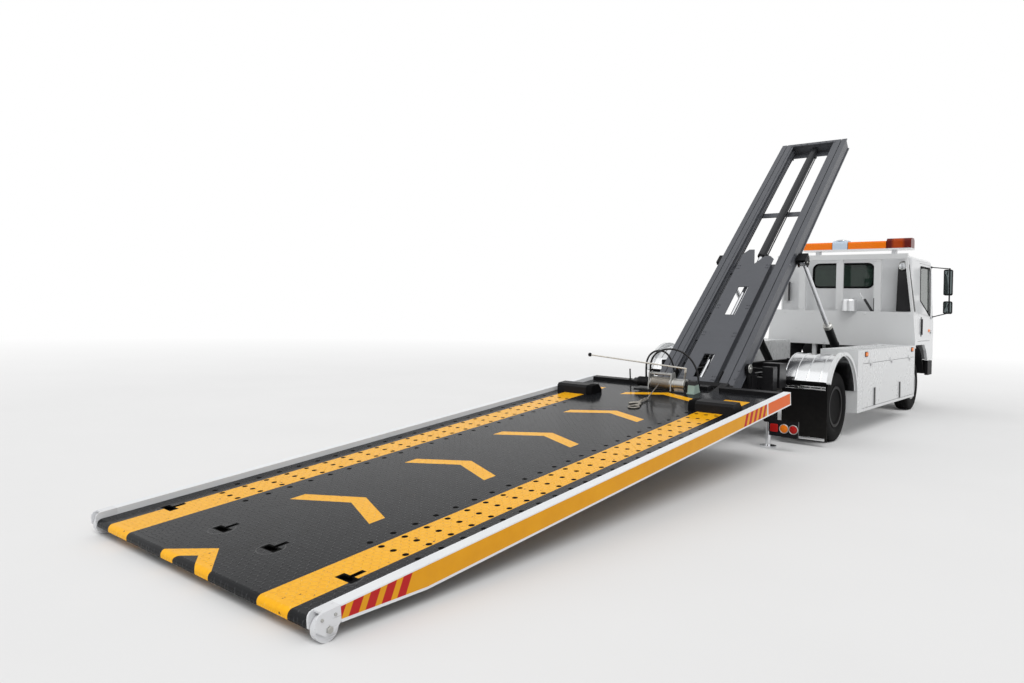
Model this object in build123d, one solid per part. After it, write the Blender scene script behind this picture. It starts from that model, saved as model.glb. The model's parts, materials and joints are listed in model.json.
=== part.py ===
from build123d import *
import os
from math import asin, atan2, cos, degrees, hypot, pi, radians, sin, tan

# Flatbed tow truck with a full-landing slide bed, parked with its bed down
# Working frame: X forward from the rear axle, Y to the left, Z up from the ground
# Each export is shifted so the origin is the middle of the bounding box at ground level

# Wheels and running gear
WHEELBASE = 4175.0
TYRE_R = 405.0
BEAD_R = 219.0
FRONT_TYRE_Y = 815.0
REAR_OUTER_Y = 936.0
REAR_INNER_Y = 698.0
KINGPIN_Y = 640.0
KINGPIN_R = 20.0
BOSS_R = 36.0
BOSS_LOW = 370.0
BOSS_TOP = 440.0

# Chassis ladder
RAIL_OUTER_Y = 420.0
RAIL_FLANGE = 65.0
RAIL_WEB = 8.0
RAIL_TOP = 790.0
RAIL_DEPTH = 210.0
CHASSIS_REAR_X = -1150.0
CHASSIS_FRONT_X = 5080.0
CROSS_X = (-1090.0, -480.0, 520.0, 1500.0, 2600.0, 3450.0, 4980.0)
ENGINE_REAR_X = 3620.0

# Tilt frame, hinged at the tail of the chassis and raised
TILT_DEG = 42.0
HINGE_X = -1197.0
HINGE_Z = 860.0
HINGE_PIN_R = 30.0
FRAME_LENGTH = 4909.0
FRAME_TAIL = 370.0
FRAME_DEPTH = 170.0
FRAME_ABOVE_PIN = 110.0
BEAM_IN = 317.0
BEAM_OUT = 459.0
BEAM_STEP = 13.0
LEDGE_IN = 287.0

# Slide plate and slide cylinder, along the tilt frame from its low end
PLATE_HALF = 217.0
PLATE_TOP = -26.0
PLATE_T = 12.0
PLATE_START = 10.0
PLATE_END = 2400.0
BARREL_MOUTH = 2340.0
BARREL_FROM_END = 169.0
BARREL_R = 50.0
BARREL_N = -100.0
ROD_R = 25.0
CARRIAGE_TRAVEL = 4400.0

# Bed, hinged on the carriage
DECK_LENGTH = 5500.0
DECK_HALF = 1155.0
SIDE_RAIL_W = 70.0
RAIL_WALL = 6.0
RAIL_TUBE_H = 60.0
DECK_DEPTH = 125.0
DECK_SURFACE = 85.0
DECK_SHEET = 6.0
PIN_BEHIND_FRONT = 40.0
PIN_ABOVE_BOTTOM = 30.0
BED_PIN_S = -261.0
BED_PIN_N = 118.6
ROLLER_R = 60.0
ROLLER_FROM_TAIL = 64.0
ROLLER_DROP = -11.3
TAIL_NOSE_R = 30.0
KEYHOLE_X = 372.0
KEYHOLE_Y = (912.0, 272.0, -232.0, -884.0)

# Winch on the bed's sheet
WINCH_X = -250.0
WINCH_Y = -35.0
WINCH_Z = 131.0
DRUM_R = 54.0
MOTOR_R = 45.0
HOSE_R = 10.0
HOSE_PORT_X = 35.0
HOSE_END_X = -20.0

# Lift cylinders
LIFT_Y = 520.0
LIFT_BASE_X = 2330.0
LIFT_BASE_Z = 450.0
LIFT_PIN_S = 2312.0
LIFT_PIN_N = -190.0
LIFT_BARREL = 1405.0
LIFT_BARREL_R = 55.0
LIFT_ROD_R = 28.0
LIFT_PIN_R = 25.0

# Cab
CAB_REAR_X = 3600.0
CAB_HALF = 1000.0
CAB_WALL = 40.0
CAB_SILL = 1030.0
CAB_ROOF = 2405.0
CAB_FRONT_X = 5180.0
CAB_ROUND = 50.0
NOSE_X = 5230.0
DOOR_HINGE_X = 4992.0
DOOR_HINGE_Y = 1010.0

# Lockers, and the wheel arch behind them
BOX_OUT = 1141.0
BOX_IN = 700.0
BOX_LOW = 300.0
BOX_TOP = 1038.0
BOX_X0 = 450.0
BOX_X1 = 3277.0
BOX_T = 20.0
BOX_SEAM = 885.0
BOX_HINGE_Y = 1149.5
BOX_DOOR_X0 = 650.0
BOX_DOOR_X1 = 3232.0
ARCH_X = -65.0
ARCH_Z = 490.0
ARCH_R = 515.0
ARCH_FROM = 8.0
ARCH_TO = 156.0

# Headboard and guard behind the cab
BOARD_X = 3400.0
BOARD_LOW = 1000.0
BOARD_TOP = 1540.0
GUARD_LOW = 2347.0
GUARD_TOP = 2427.0

# Stabiliser legs
LEG_X = -958.0
LEG_Y = 619.0
LEG_R = 27.0

# Clearances
SEAT = 0.3
RUN = 0.5
GAP = 5.0


def frame_point(s, n):
    """World X and Z of a point on the tilt frame, s from its low end, n off its upper face."""
    a = radians(TILT_DEG)
    u = s - FRAME_TAIL
    w = n + FRAME_ABOVE_PIN
    return HINGE_X + u * cos(a) - w * sin(a), HINGE_Z + u * sin(a) + w * cos(a)


PIN_X, PIN_Z = frame_point(BED_PIN_S, BED_PIN_N)
LIFT_TOP_X, LIFT_TOP_Z = frame_point(LIFT_PIN_S, LIFT_PIN_N)
DECK_FRONT = PIN_BEHIND_FRONT
DECK_TAIL = PIN_BEHIND_FRONT - DECK_LENGTH
DECK_BOTTOM = -PIN_ABOVE_BOTTOM
DECK_TOP = DECK_DEPTH - PIN_ABOVE_BOTTOM
SHEET_TOP = DECK_SURFACE - PIN_ABOVE_BOTTOM
DECK_INNER = DECK_HALF - SIDE_RAIL_W - SEAT

# The bed slopes so that its tail rollers stand on the ground
ROLLER_X = DECK_TAIL + ROLLER_FROM_TAIL
ROLLER_Z = -ROLLER_DROP
DECK_DEG = degrees(asin((PIN_Z - ROLLER_R) / hypot(ROLLER_X, ROLLER_Z)) + atan2(ROLLER_Z, -ROLLER_X))
TAIL_X = PIN_X + DECK_TAIL * cos(radians(DECK_DEG)) - DECK_TOP * sin(radians(DECK_DEG))
MID_X = (TAIL_X + NOSE_X) / 2


def block(x0, x1, y0, y1, z0, z1):
    return Pos((x0 + x1) / 2, (y0 + y1) / 2, (z0 + z1) / 2) * Box(x1 - x0, y1 - y0, z1 - z0)


def rod_y(x, z, y0, y1, r):
    return Pos(x, (y0 + y1) / 2, z) * Rot(90, 0, 0) * Cylinder(r, abs(y1 - y0))


def rod_x(y, z, x0, x1, r):
    return Pos((x0 + x1) / 2, y, z) * Rot(0, 90, 0) * Cylinder(r, abs(x1 - x0))


def rod_z(x, y, z0, z1, r):
    return Pos(x, y, (z0 + z1) / 2) * Cylinder(r, abs(z1 - z0))


def bar(p, q, r):
    """Round bar from point p to point q."""
    a, b = Vector(*p), Vector(*q)
    return Plane(origin=(a + b) / 2, z_dir=b - a) * Cylinder(r, (b - a).length)


def slab_y(points, y0, y1):
    """Outline in X and Z, extruded across Y."""
    face = Plane.XZ * make_face(Polyline(*points, close=True))
    return Pos(0, y0, 0) * extrude(face, y1 - y0, dir=(0, 1, 0))


def slab_x(points, x0, x1):
    """Outline in Y and Z, extruded along X."""
    face = Plane.YZ * make_face(Polyline(*points, close=True))
    return Pos(x0, 0, 0) * extrude(face, x1 - x0, dir=(1, 0, 0))


def round_slab_x(y0, y1, z0, z1, r, x0, x1):
    """Rectangle in Y and Z with rounded corners, extruded along X."""
    face = Plane.YZ * Pos((y0 + y1) / 2, (z0 + z1) / 2) * RectangleRounded(y1 - y0, z1 - z0, r)
    return Pos(x0, 0, 0) * extrude(face, x1 - x0, dir=(1, 0, 0))


def ring_y(points, x, y, z):
    """Closed outline of offset along Y and radius, turned about an axis along Y."""
    face = Plane.XY * make_face(Polyline(*[(r, a) for a, r in points], close=True))
    return Pos(x, y, z) * revolve(face, Axis.Y, 360)


def arc_y(x, z, r0, r1, y0, y1, a0, a1):
    """Part of a ring about an axis along Y, from angle a0 to a1 above the forward direction."""
    ring = rod_y(x, z, y0, y1, r1) - rod_y(x, z, y0 - 1, y1 + 1, r0)
    steps = 5
    fan = [(x, z)]
    for i in range(steps + 1):
        a = radians(a0 + (a1 - a0) * i / steps)
        fan.append((x + 1.5 * r1 * cos(a), z + 1.5 * r1 * sin(a)))
    return ring & slab_y(fan, y0 - 1, y1 + 1)


def flip(shape):
    return mirror(shape, about=Plane.XZ)


def both(shape):
    return shape + flip(shape)


def on_frame(shape):
    """Place a shape drawn along X from the frame's low end, Z up from its upper face."""
    local = Pos(-FRAME_TAIL, 0, FRAME_ABOVE_PIN) * shape
    return Pos(HINGE_X, 0, HINGE_Z) * Rot(0, -TILT_DEG, 0) * local


def on_deck(shape):
    """Place a shape drawn about the bed's hinge pin, X forward along the bed."""
    return Pos(PIN_X, 0, PIN_Z) * Rot(0, -DECK_DEG, 0) * shape


parts = {}


# Chassis ladder with its cross-members and the lift cylinders' hinge brackets
def chassis():
    z0 = RAIL_TOP - RAIL_DEPTH
    inner = RAIL_OUTER_Y - RAIL_WEB
    lip = RAIL_OUTER_Y - RAIL_FLANGE
    rail = block(CHASSIS_REAR_X, CHASSIS_FRONT_X, inner, RAIL_OUTER_Y, z0, RAIL_TOP)
    rail += block(CHASSIS_REAR_X, CHASSIS_FRONT_X, lip, RAIL_OUTER_Y, RAIL_TOP - RAIL_WEB, RAIL_TOP)
    rail += block(CHASSIS_REAR_X, CHASSIS_FRONT_X, lip, RAIL_OUTER_Y, z0, z0 + RAIL_WEB)
    body = both(rail)
    for x in CROSS_X:
        body += block(x - 45, x + 45, -inner, inner, RAIL_TOP - 150, RAIL_TOP - 40)
    return body


def lift_brackets():
    x, z = LIFT_BASE_X, LIFT_BASE_Z
    outline = [(x - 110, 600), (x + 110, 600), (x + 60, z - 40), (x - 60, z - 40)]
    cheeks = slab_y(outline, RAIL_OUTER_Y - 1, RAIL_OUTER_Y + 22) + slab_y(outline, LIFT_Y + 60, LIFT_Y + 74)
    top = block(x - 30, x + 110, RAIL_OUTER_Y - 1, LIFT_Y + 74, 599, 616)
    pin = rod_y(x, z, RAIL_OUTER_Y + 10, LIFT_Y + 80, LIFT_PIN_R)
    return both(cheeks + top + pin)


# Tilt hinge's stand at the chassis tail, with the stabilisers' housings and the valve box
def hinge_stand():
    x = CHASSIS_REAR_X
    side = RAIL_OUTER_Y + SEAT
    body = block(x - 10, x, -500, 500, 600, 780)
    body += both(block(x - 1, x + 130, side, 500, 640, 780))
    outline = [
        (x + 130, 640), (x + 130, RAIL_TOP), (HINGE_X + 62, HINGE_Z + 20), (HINGE_X + 35, HINGE_Z + 52),
        (HINGE_X - 35, HINGE_Z + 52), (HINGE_X - 58, HINGE_Z), (x - 10, 640),
    ]
    ear = slab_y(outline, 466, 490) - rod_y(HINGE_X, HINGE_Z, 460, 500, HINGE_PIN_R + RUN)
    body += both(ear)
    housing = block(LEG_X - 60, LEG_X + 60, LEG_Y - 60, LEG_Y + 60, 300, 880)
    housing -= rod_z(LEG_X, LEG_Y, 290, 860, LEG_R + RUN)
    housing += block(LEG_X - 50, LEG_X + 50, side, LEG_Y - 59, 640, 760)
    body += both(housing + block(x + 129, LEG_X - 49, side, 500, 640, 760))
    valve = block(-800, -600, -670, -475, 640, 910) + block(-760, -640, -476, -side, 640, 770)
    return body + valve


# Axles, springs and the plain engine block
def front_axle():
    x, y = WHEELBASE, KINGPIN_Y
    arm = slab_x(
        [(519, 300), (519, 380), (y - 30, BOSS_TOP), (y, BOSS_TOP), (y, BOSS_LOW), (y - 45, BOSS_LOW)],
        x - 34, x + 34,
    )
    end = arm + rod_z(x, y, BOSS_LOW, BOSS_TOP, BOSS_R)
    end -= rod_z(x, y, BOSS_LOW - 10, BOSS_TOP + 10, KINGPIN_R + RUN)
    return block(x - 45, x + 45, -520, 520, 300, 380) + both(end)


def rear_axle():
    end = REAR_INNER_Y - 100 - SEAT
    tube = rod_y(0, TYRE_R, -end, end, 70)
    bowl = Pos(0, 0, TYRE_R) * Sphere(170)
    shaft = bar((150, 0, TYRE_R + 30), (ENGINE_REAR_X - 2, 0, 580), 40)
    return tube + bowl + shaft


def spring_pack(x, half, low):
    high = RAIL_TOP - RAIL_DEPTH - SEAT
    outline = [
        (x - half, high), (x - half, high - 22), (x - 150, low), (x + 150, low),
        (x + half, high - 22), (x + half, high), (x + 150, low + 55), (x - 150, low + 55),
    ]
    return both(slab_y(outline, RAIL_OUTER_Y - 70, RAIL_OUTER_Y - 5))


def engine_block():
    body = block(ENGINE_REAR_X, 4780, -250, 250, 520, 985)
    foot = RAIL_OUTER_Y - RAIL_WEB - SEAT
    for x in (3760.0, 4500.0):
        body += block(x - 50, x + 50, -foot, foot, 640, 700)
    return body


def leg():
    return rod_z(LEG_X, LEG_Y, 20, 560, LEG_R) + rod_z(LEG_X, LEG_Y, 0, 22, 88)


# Tyres and wheels, as outlines of offset from the middle of the rim and radius
TYRE_OUTLINE = [
    (-80, BEAD_R), (-86, 240), (-103, 270), (-107, 300), (-104, 350), (-98, 378), (-88, 394), (-74, 401),
    (0, TYRE_R),
    (74, 401), (88, 394), (98, 378), (104, 350), (107, 300), (103, 270), (86, 240), (80, BEAD_R),
]
RIM_OUTLINE = [
    (-96, 202), (-96, 236), (-88, 236), (-82, BEAD_R - SEAT), (82, BEAD_R - SEAT), (88, 236), (96, 236),
]


def tyre(x, y):
    return ring_y(TYRE_OUTLINE, x, y, TYRE_R)


def front_wheel():
    dish = [(96, 202), (45, 202), (28, 120), (62, 100), (66, 0), (16, 0), (16, 190), (0, 202)]
    return ring_y(RIM_OUTLINE + dish, WHEELBASE, FRONT_TYRE_Y, TYRE_R)


def rear_wheel():
    half_gap = (REAR_OUTER_Y - REAR_INNER_Y) / 2
    dish = [(96, 206), (-60, 202), (-76, 150), (-60, 110), (30, 90), (34, 0), (-half_gap, 0), (-half_gap, 202)]
    back = [(96, 202), (half_gap + 0.2, 202), (half_gap + 0.2, 0), (60, 0), (60, 200)]
    hub = rod_y(0, TYRE_R, REAR_INNER_Y - 100, REAR_OUTER_Y - 118, 110)
    outer = ring_y(RIM_OUTLINE + dish, 0, REAR_OUTER_Y, TYRE_R)
    return outer + hub + ring_y(RIM_OUTLINE + back, 0, REAR_INNER_Y, TYRE_R)


def knuckle():
    x, y = WHEELBASE, KINGPIN_Y
    half, web, back = BOSS_R - 2, BOSS_R + 6, 75
    body = rod_z(x, y, 330, 480, KINGPIN_R)
    for z0, z1 in ((300, BOSS_LOW - 8), (BOSS_TOP + 6, 500)):
        body += rod_z(x, y, z0, z1, half)
        body += block(x - half, x + half, y, y + back, z0, z1)
    body += block(x - half, x + half, y + web, y + back, 300, 500)
    return body + rod_y(x, TYRE_R, y + back - 5, FRONT_TYRE_Y + 16 - SEAT, 30)


# Tilt frame: twin beams with a groove in the top, a stepped outer side and guide ledges inside
def tilt_beams():
    mid = (BEAM_IN + BEAM_OUT) / 2
    low, step = -FRAME_DEPTH, BEAM_OUT - BEAM_STEP
    outline = [
        (BEAM_IN, 0), (mid - 5, 0), (mid - 5, -30), (mid + 5, -30), (mid + 5, 0),
        (BEAM_OUT, 0), (BEAM_OUT, -16),
        (step, -16), (step, low + 14), (BEAM_OUT, low + 14), (BEAM_OUT, low), (BEAM_IN, low),
    ]
    beam = slab_x(outline, 0, FRAME_LENGTH)
    for n0, n1 in ((-14, -6), (-86, -76), (-118.5, -108.5)):
        beam += block(20, FRAME_LENGTH - 20, LEDGE_IN, BEAM_IN + 1, n0, n1)
    beam -= rod_y(FRAME_TAIL, -FRAME_ABOVE_PIN, 280, 480, HINGE_PIN_R + RUN)
    body = both(beam)
    return body + block(1100, 1860, step - 1, BEAM_OUT - 3, low + 13, -22)


def tilt_cross():
    half, low, end = BEAM_IN + 1, -FRAME_DEPTH, FRAME_LENGTH
    body = block(end - 12, end, -half, half, low, 0)
    body += block(end - 52, end, -half, half, -12, 0)
    body += block(end - 129, end, -half, half, low, low + 12)
    for share in (0.09, 0.24, 0.44, 0.67):
        s = share * FRAME_LENGTH
        body += block(s, s + 90, -half, half, low, low + 14)
    saddle = 0.67 * FRAME_LENGTH
    return body + block(saddle, saddle + 90, -40, 40, low + 13, BARREL_N - BARREL_R - SEAT)


def tilt_pin():
    return on_frame(both(rod_y(FRAME_TAIL, -FRAME_ABOVE_PIN, BEAM_IN + 8, 496, HINGE_PIN_R)))


def lift_clevis():
    top = -FRAME_DEPTH + 60
    s, y0 = LIFT_PIN_S, BEAM_OUT + SEAT
    outline = [(s - 70, top), (s + 70, top), (s + 45, LIFT_PIN_N - 35), (s - 45, LIFT_PIN_N - 35)]
    body = slab_y(outline, y0, BEAM_OUT + 16) + slab_y(outline, LIFT_Y + 44, LIFT_Y + 58)
    body += block(s - 70, s + 70, y0, LIFT_Y + 58, top, top + 16)
    body += block(s - 55, s + 55, BEAM_OUT - BEAM_STEP + SEAT, y0 + 1, -FRAME_DEPTH + 16, top)
    body += rod_y(s, LIFT_PIN_N, BEAM_OUT + 8, LIFT_Y + 64, LIFT_PIN_R)
    return on_frame(both(body))


# Slide cylinder's barrel with its oil pipe, held by the top cross-member
def slide_barrel():
    end = FRAME_LENGTH - BARREL_FROM_END
    tube = rod_x(0, BARREL_N, BARREL_MOUTH, end, BARREL_R)
    tube -= rod_x(0, BARREL_N, BARREL_MOUTH - 1, end - 50, ROD_R + RUN)
    eye = block(end - 1, FRAME_LENGTH - 12 - SEAT, -30, 30, BARREL_N - 35, BARREL_N + 20)
    pipe = rod_x(-62, BARREL_N - 18, BARREL_MOUTH + 30, end - 50, 8)
    for s in (BARREL_MOUTH + 30, end - 80):
        pipe += block(s, s + 30, -72, -40, BARREL_N - 30, BARREL_N - 6)
    return on_frame(tube + eye + pipe)


# Slide plate with its notch, two windows, guide pads and the rod's anchor
def slide_plate():
    half, end, low = PLATE_HALF, PLATE_END, PLATE_TOP - PLATE_T
    outline = [
        (PLATE_START, -half), (PLATE_START, half), (end - 90, half), (end, half - 60), (end, 90),
        (end - 295, 0),
        (end - 140, -90), (end - 140, 60 - half), (end - 200, -half),
    ]
    face = Plane.XY * make_face(Polyline(*outline, close=True))
    sheet = Pos(0, 0, low) * extrude(face, PLATE_T, dir=(0, 0, 1))
    for s0, s1 in ((110, 480), (1147, 1665)):
        sheet -= block(s0, s1, -72, 54, low - 10, PLATE_TOP + 10)
    web = block(PLATE_START, end - 300, half - 8, half, -108, low + 1)
    sheet += both(web + block(PLATE_START, end - 300, half - 8, 262, -108, -98))
    for s in (60, 760, 1240, 2000):
        sheet += both(block(s, s + 100, half - 14, 312, -108, -92))
    return on_frame(sheet + block(20, 60, -60, 60, BARREL_N - 45, low + 1))


def slide_rod():
    return on_frame(rod_x(0, BARREL_N, 60 + SEAT, BARREL_MOUTH + 60, ROD_R))


# Carriage that climbs the tilt frame: arms to the bed's hinge, a cross block and tongues with rollers
def carriage():
    low, high = GAP + 1, 62
    mid = (BEAM_IN + BEAM_OUT) / 2
    s, n = BED_PIN_S, BED_PIN_N
    outline = [
        (-GAP, low), (-GAP, high - 25), (-60, high), (s + 8, n + 38), (s - 30, n + 22), (s - 36, n - 12),
        (s - 8, n - 38), (-75, low),
    ]
    arm = slab_y(outline, mid - 40, mid + 40) - rod_y(s, n, mid - 60, mid + 60, 20 + RUN)
    tongue = block(-60, 200, 268, 280, -73, low + 1) + block(-60, -GAP, 268, 280, -73, high - 25)
    for along in (62, 168):
        tongue += rod_y(along, -76 + 25 + SEAT, 279, 311, 25)
    return on_frame(both(arm + tongue) + block(-60, -GAP, -mid, mid, low, high - 25))


# Bed sheet with keyholes at its rounded tail
def deck_sheet():
    top, half, t = SHEET_TOP, DECK_INNER, DECK_TAIL
    r = TAIL_NOSE_R
    cx, cz = t + 6.5 + r, top - r
    sheet = block(cx - 0.5, -60, -half, half, top - DECK_SHEET, top)
    outer = [(cx - r * sin(radians(a)), cz + r * cos(radians(a))) for a in range(0, 91, 10)]
    inner = [(cx - (r - 6) * sin(radians(a)), cz + (r - 6) * cos(radians(a))) for a in range(90, -1, -10)]
    sheet += slab_y(outer + [(cx - r, cz - 12), (cx - r + 6, cz - 12)] + inner, -half, half)
    x, low, high = t + KEYHOLE_X, top - 20, top + 10
    for y in KEYHOLE_Y:
        ends = rod_z(x, y - 30, low, high, 20) + rod_z(x, y + 30, low, high, 20)
        sheet -= block(x - 20, x + 20, y - 30, y + 30, low, high) + ends
        sheet -= block(x, x + 92, y - 9, y + 9, low, high)
    return on_deck(sheet)


# Side rail: a tube along the top, an outer panel that tapers at the tail and a lower lip
def side_rail():
    b, y0, y1, t = DECK_BOTTOM, DECK_HALF - SIDE_RAIL_W, DECK_HALF, DECK_TAIL
    low = DECK_TOP - RAIL_TUBE_H
    x0, x1, taper = t + 130, DECK_FRONT, t + 640
    rail = block(x0, x1, y0, y1, low, DECK_TOP)
    rail -= block(x0 - 1, x1 + 1, y0 + RAIL_WALL, y1 - RAIL_WALL, low + RAIL_WALL, DECK_TOP - RAIL_WALL)
    rail += slab_y([(x1, b), (x1, low + 1), (x0, low + 1), (x0, b + 46), (taper, b)], y1 - RAIL_WALL, y1)
    rail += slab_y([(x1, b), (x1, b + 6), (taper, b + 6), (x0, b + 52), (x0, b + 46), (taper, b)], y1 - 30, y1)
    return rail


def tail_shoes():
    y0, t, x, z = DECK_HALF - SIDE_RAIL_W, DECK_TAIL, ROLLER_X, ROLLER_Z
    outline = [
        (t + 130 - SEAT, DECK_TOP), (t + 34, DECK_TOP), (t + 15, DECK_TOP - 5), (t + 4, DECK_TOP - 17),
        (t, DECK_TOP - 34), (t, z + 10), (x - 25, z - 22), (x + 25, z - 22), (t + 130 - SEAT, z + 12),
    ]
    cheek = slab_y(outline, y0, y0 + 9) - rod_y(x, z, y0 - 5, y0 + 20, 12 + RUN)
    pair = cheek + Pos(0, SIDE_RAIL_W - 9, 0) * cheek
    cap = block(t + 34, t + 130 - SEAT, y0 + 1, DECK_HALF - 1, DECK_TOP - 10, DECK_TOP)
    return on_deck(both(pair + cap))


def tail_roller():
    y0 = DECK_HALF - SIDE_RAIL_W
    roller = rod_y(ROLLER_X, ROLLER_Z, y0 + 14, DECK_HALF - 14, ROLLER_R)
    return on_deck(roller + rod_y(ROLLER_X, ROLLER_Z, y0 + 1, DECK_HALF - 1, 12))


# Hydraulic hoses of the winch
def hose_path(start_y, end_y, rises):
    """Points of a hose from its port on the motor to its gland on the bed's front beam.
    rises lists each point's share of the way and its height over the winch's axle."""
    x0, x1 = WINCH_X + HOSE_PORT_X, HOSE_END_X
    points = [(x0, start_y, WINCH_Z + 55)]
    for share, height in rises:
        points.append((x0 + share * (x1 - x0), start_y + share * (end_y - start_y), WINCH_Z + height))
    return points + [(x1, end_y, DECK_TOP + 14)]


HOSE_PATHS = {
    "hose_short": hose_path(290, 60, [
        (0.0, 140), (0.04, 225), (0.19, 295), (0.45, 325), (0.72, 298), (0.89, 225), (0.97, 140),
        (1.0, 58),
    ]),
    "hose_long": hose_path(240, -215, [
        (0.0, 140), (0.03, 228), (0.125, 300), (0.30, 340), (0.50, 345), (0.70, 310), (0.85, 242),
        (0.95, 156), (1.0, 62),
    ]),
}


# Frame under the bed, its hinge beam and the wheel stops on top
def deck_frame():
    half, b = DECK_INNER, DECK_BOTTOM
    top = SHEET_TOP - DECK_SHEET - SEAT
    rear = DECK_TAIL + 470
    body = block(-45, 44, -325, 325, b, DECK_TOP - 6) + both(block(-45, 44, 450, half, b, DECK_TOP - 6))
    body += rod_y(0, 0, -470, 470, 20)
    for path in HOSE_PATHS.values():
        x, y, z = path[-1]
        body += rod_z(x, y, DECK_TOP - 7, z, HOSE_R + 4)
    for y in (300, 720):
        body += both(block(rear, -44.5, y - 25, y + 25, b, top))
    bays = 7
    for i in range(bays + 1):
        x = rear + 30 + (-650 - rear) * i / bays
        body += block(x - 30, x + 30, -half, half, b + 20, top)
    return on_deck(body)


def wheel_stop(x, y):
    low = SHEET_TOP + SEAT
    outline = [
        (x - 200, low), (x - 192, low + 70), (x - 170, low + 92), (x - 50, low + 92), (x, low + 30), (x, low),
    ]
    return slab_y(outline, y, y + 365)


# Winch: drum between two plates, motor, gearbox, tie bars, end bracket and clutch lever
def winch_frame():
    x, z, base = WINCH_X, WINCH_Z, SHEET_TOP + SEAT
    body = block(x - 75, x + 72, -275, 420, base, base + 10)
    plate = slab_y([(x - 72, base + 9), (x + 70, base + 9), (x + 40, z + 112), (x - 40, z + 112)], 0, 12)
    plate -= rod_y(x, z, -10, 20, 16 + RUN)
    body += Pos(0, -18, 0) * plate + Pos(0, 240, 0) * plate
    body += rod_y(x, z, 251, 400, MOTOR_R) + rod_y(x, z, 399, 440, 33)
    body += rod_y(x, z, -150, -17, 56) + rod_y(x, z, -162, -149, 40)
    body += block(x - 45, x + 45, -151, -40, base + 9, z)
    body += slab_y([(x - 62, base + 9), (x + 62, base + 9), (x + 34, z + 50), (x - 34, z + 50)], -275, -200)
    body += block(x - 30, x + 30, -201, -160, base + 9, z)
    for dx in (-26, 26):
        body += rod_y(x + dx, z + 98, -12, 246, 8)
    body += bar((x, -140, z + 50), (x, -158, z + 172), 11)
    body += bar((x, -164, z + 170), (x, 1015, z + 244), 8)
    body = Pos(0, WINCH_Y, 0) * body
    for path in HOSE_PATHS.values():
        body += rod_z(path[0][0], path[0][1], z + 15, path[0][2], HOSE_R + 3)
    return on_deck(body)


def winch_drum():
    drum = rod_y(WINCH_X, WINCH_Z, 0, 234, DRUM_R)
    drum += rod_y(WINCH_X, WINCH_Z, -1, 9, DRUM_R + 6) + rod_y(WINCH_X, WINCH_Z, 225, 235, DRUM_R + 6)
    return on_deck(Pos(0, WINCH_Y, 0) * (drum + rod_y(WINCH_X, WINCH_Z, -16, 250, 16)))


def hose(points):
    """Tube along straight runs joined by tangent arcs, each as large as its two runs allow."""
    v = [Vector(*p) for p in points]
    radii = []
    for a, b, c in zip(v, v[1:], v[2:]):
        turn = radians((b - a).get_angle(c - b))
        radii.append(0.45 * min((b - a).length, (c - b).length) / tan(turn / 2))
    line = FilletPolyline(*v, radius=radii)
    tube = sweep(Plane(origin=v[0], z_dir=v[1] - v[0]) * Circle(HOSE_R), path=line)
    print("hose", round(line.length), "mm, radii", [round(r) for r in radii])
    print("volume over section times length", tube.volume / (pi * HOSE_R ** 2 * line.length))
    return on_deck(tube)


# Lift cylinders
LIFT_SPAN = hypot(LIFT_TOP_X - LIFT_BASE_X, LIFT_TOP_Z - LIFT_BASE_Z)
LIFT_ANGLE = degrees(atan2(LIFT_TOP_Z - LIFT_BASE_Z, LIFT_TOP_X - LIFT_BASE_X))


def on_lift(shape):
    return Pos(LIFT_BASE_X, 0, LIFT_BASE_Z) * Rot(0, -LIFT_ANGLE, 0) * shape


def lift_barrel():
    body = rod_x(LIFT_Y, 0, 45, LIFT_BARREL, LIFT_BARREL_R)
    body -= rod_x(LIFT_Y, 0, 90, LIFT_BARREL + 1, LIFT_ROD_R + RUN)
    eye = rod_y(0, 0, LIFT_Y - 45, LIFT_Y + 45, 48) + block(0, 60, LIFT_Y - 35, LIFT_Y + 35, -35, 35)
    return on_lift(body + eye - rod_y(0, 0, LIFT_Y - 60, LIFT_Y + 60, LIFT_PIN_R + RUN))


def lift_rod():
    body = rod_x(LIFT_Y, 0, LIFT_BARREL - 60, LIFT_SPAN - 30, LIFT_ROD_R)
    eye = rod_y(LIFT_SPAN, 0, LIFT_Y - 32, LIFT_Y + 32, 42)
    return on_lift(body + eye - rod_y(LIFT_SPAN, 0, LIFT_Y - 60, LIFT_Y + 60, LIFT_PIN_R + RUN))


# Cab: a hollow shell with cut doors and windows
SCREEN_TOP = (5010, 2330)
SCREEN_LOW = (5150, 1480)
CAB_SIDE = [
    (CAB_REAR_X, CAB_SILL), (CAB_REAR_X, CAB_ROOF), (4880, CAB_ROOF), SCREEN_TOP, SCREEN_LOW,
    (CAB_FRONT_X, 1380), (CAB_FRONT_X, 760), (4810, 760), (4700, 925), (4560, CAB_SILL),
]
DOOR_SIDE = [(4110, 1085), (4110, 2320), (4915, 2320), (4985, 1500), (4985, 1180), (4940, 1085)]
PANE_SIDE = [(4200, 1735), (4175, 2270), (4860, 2270), (4925, 1510), (4880, 1490), (4600, 1600)]
REAR_PANE = (-460, 460, 1920, 2289)


def hinge_half(z, x0, x1):
    """Half of a door hinge: a barrel on the hinge line with its strap on the outer skin."""
    barrel = rod_z(DOOR_HINGE_X, DOOR_HINGE_Y, z, z + 30, 9)
    return barrel + block(x0, x1, CAB_HALF + SEAT, CAB_HALF + 5, z, z + 30)


def inset_slab(points, d, y0, y1):
    """Outline in X and Z moved inwards by d, extruded across Y."""
    face = make_face(Polyline(*points, close=True))
    inner = make_face(offset(face, -d, kind=Kind.INTERSECTION).wires()[0])
    return Pos(0, y0, 0) * extrude(Plane.XZ * inner, y1 - y0, dir=(0, 1, 0))


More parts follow.
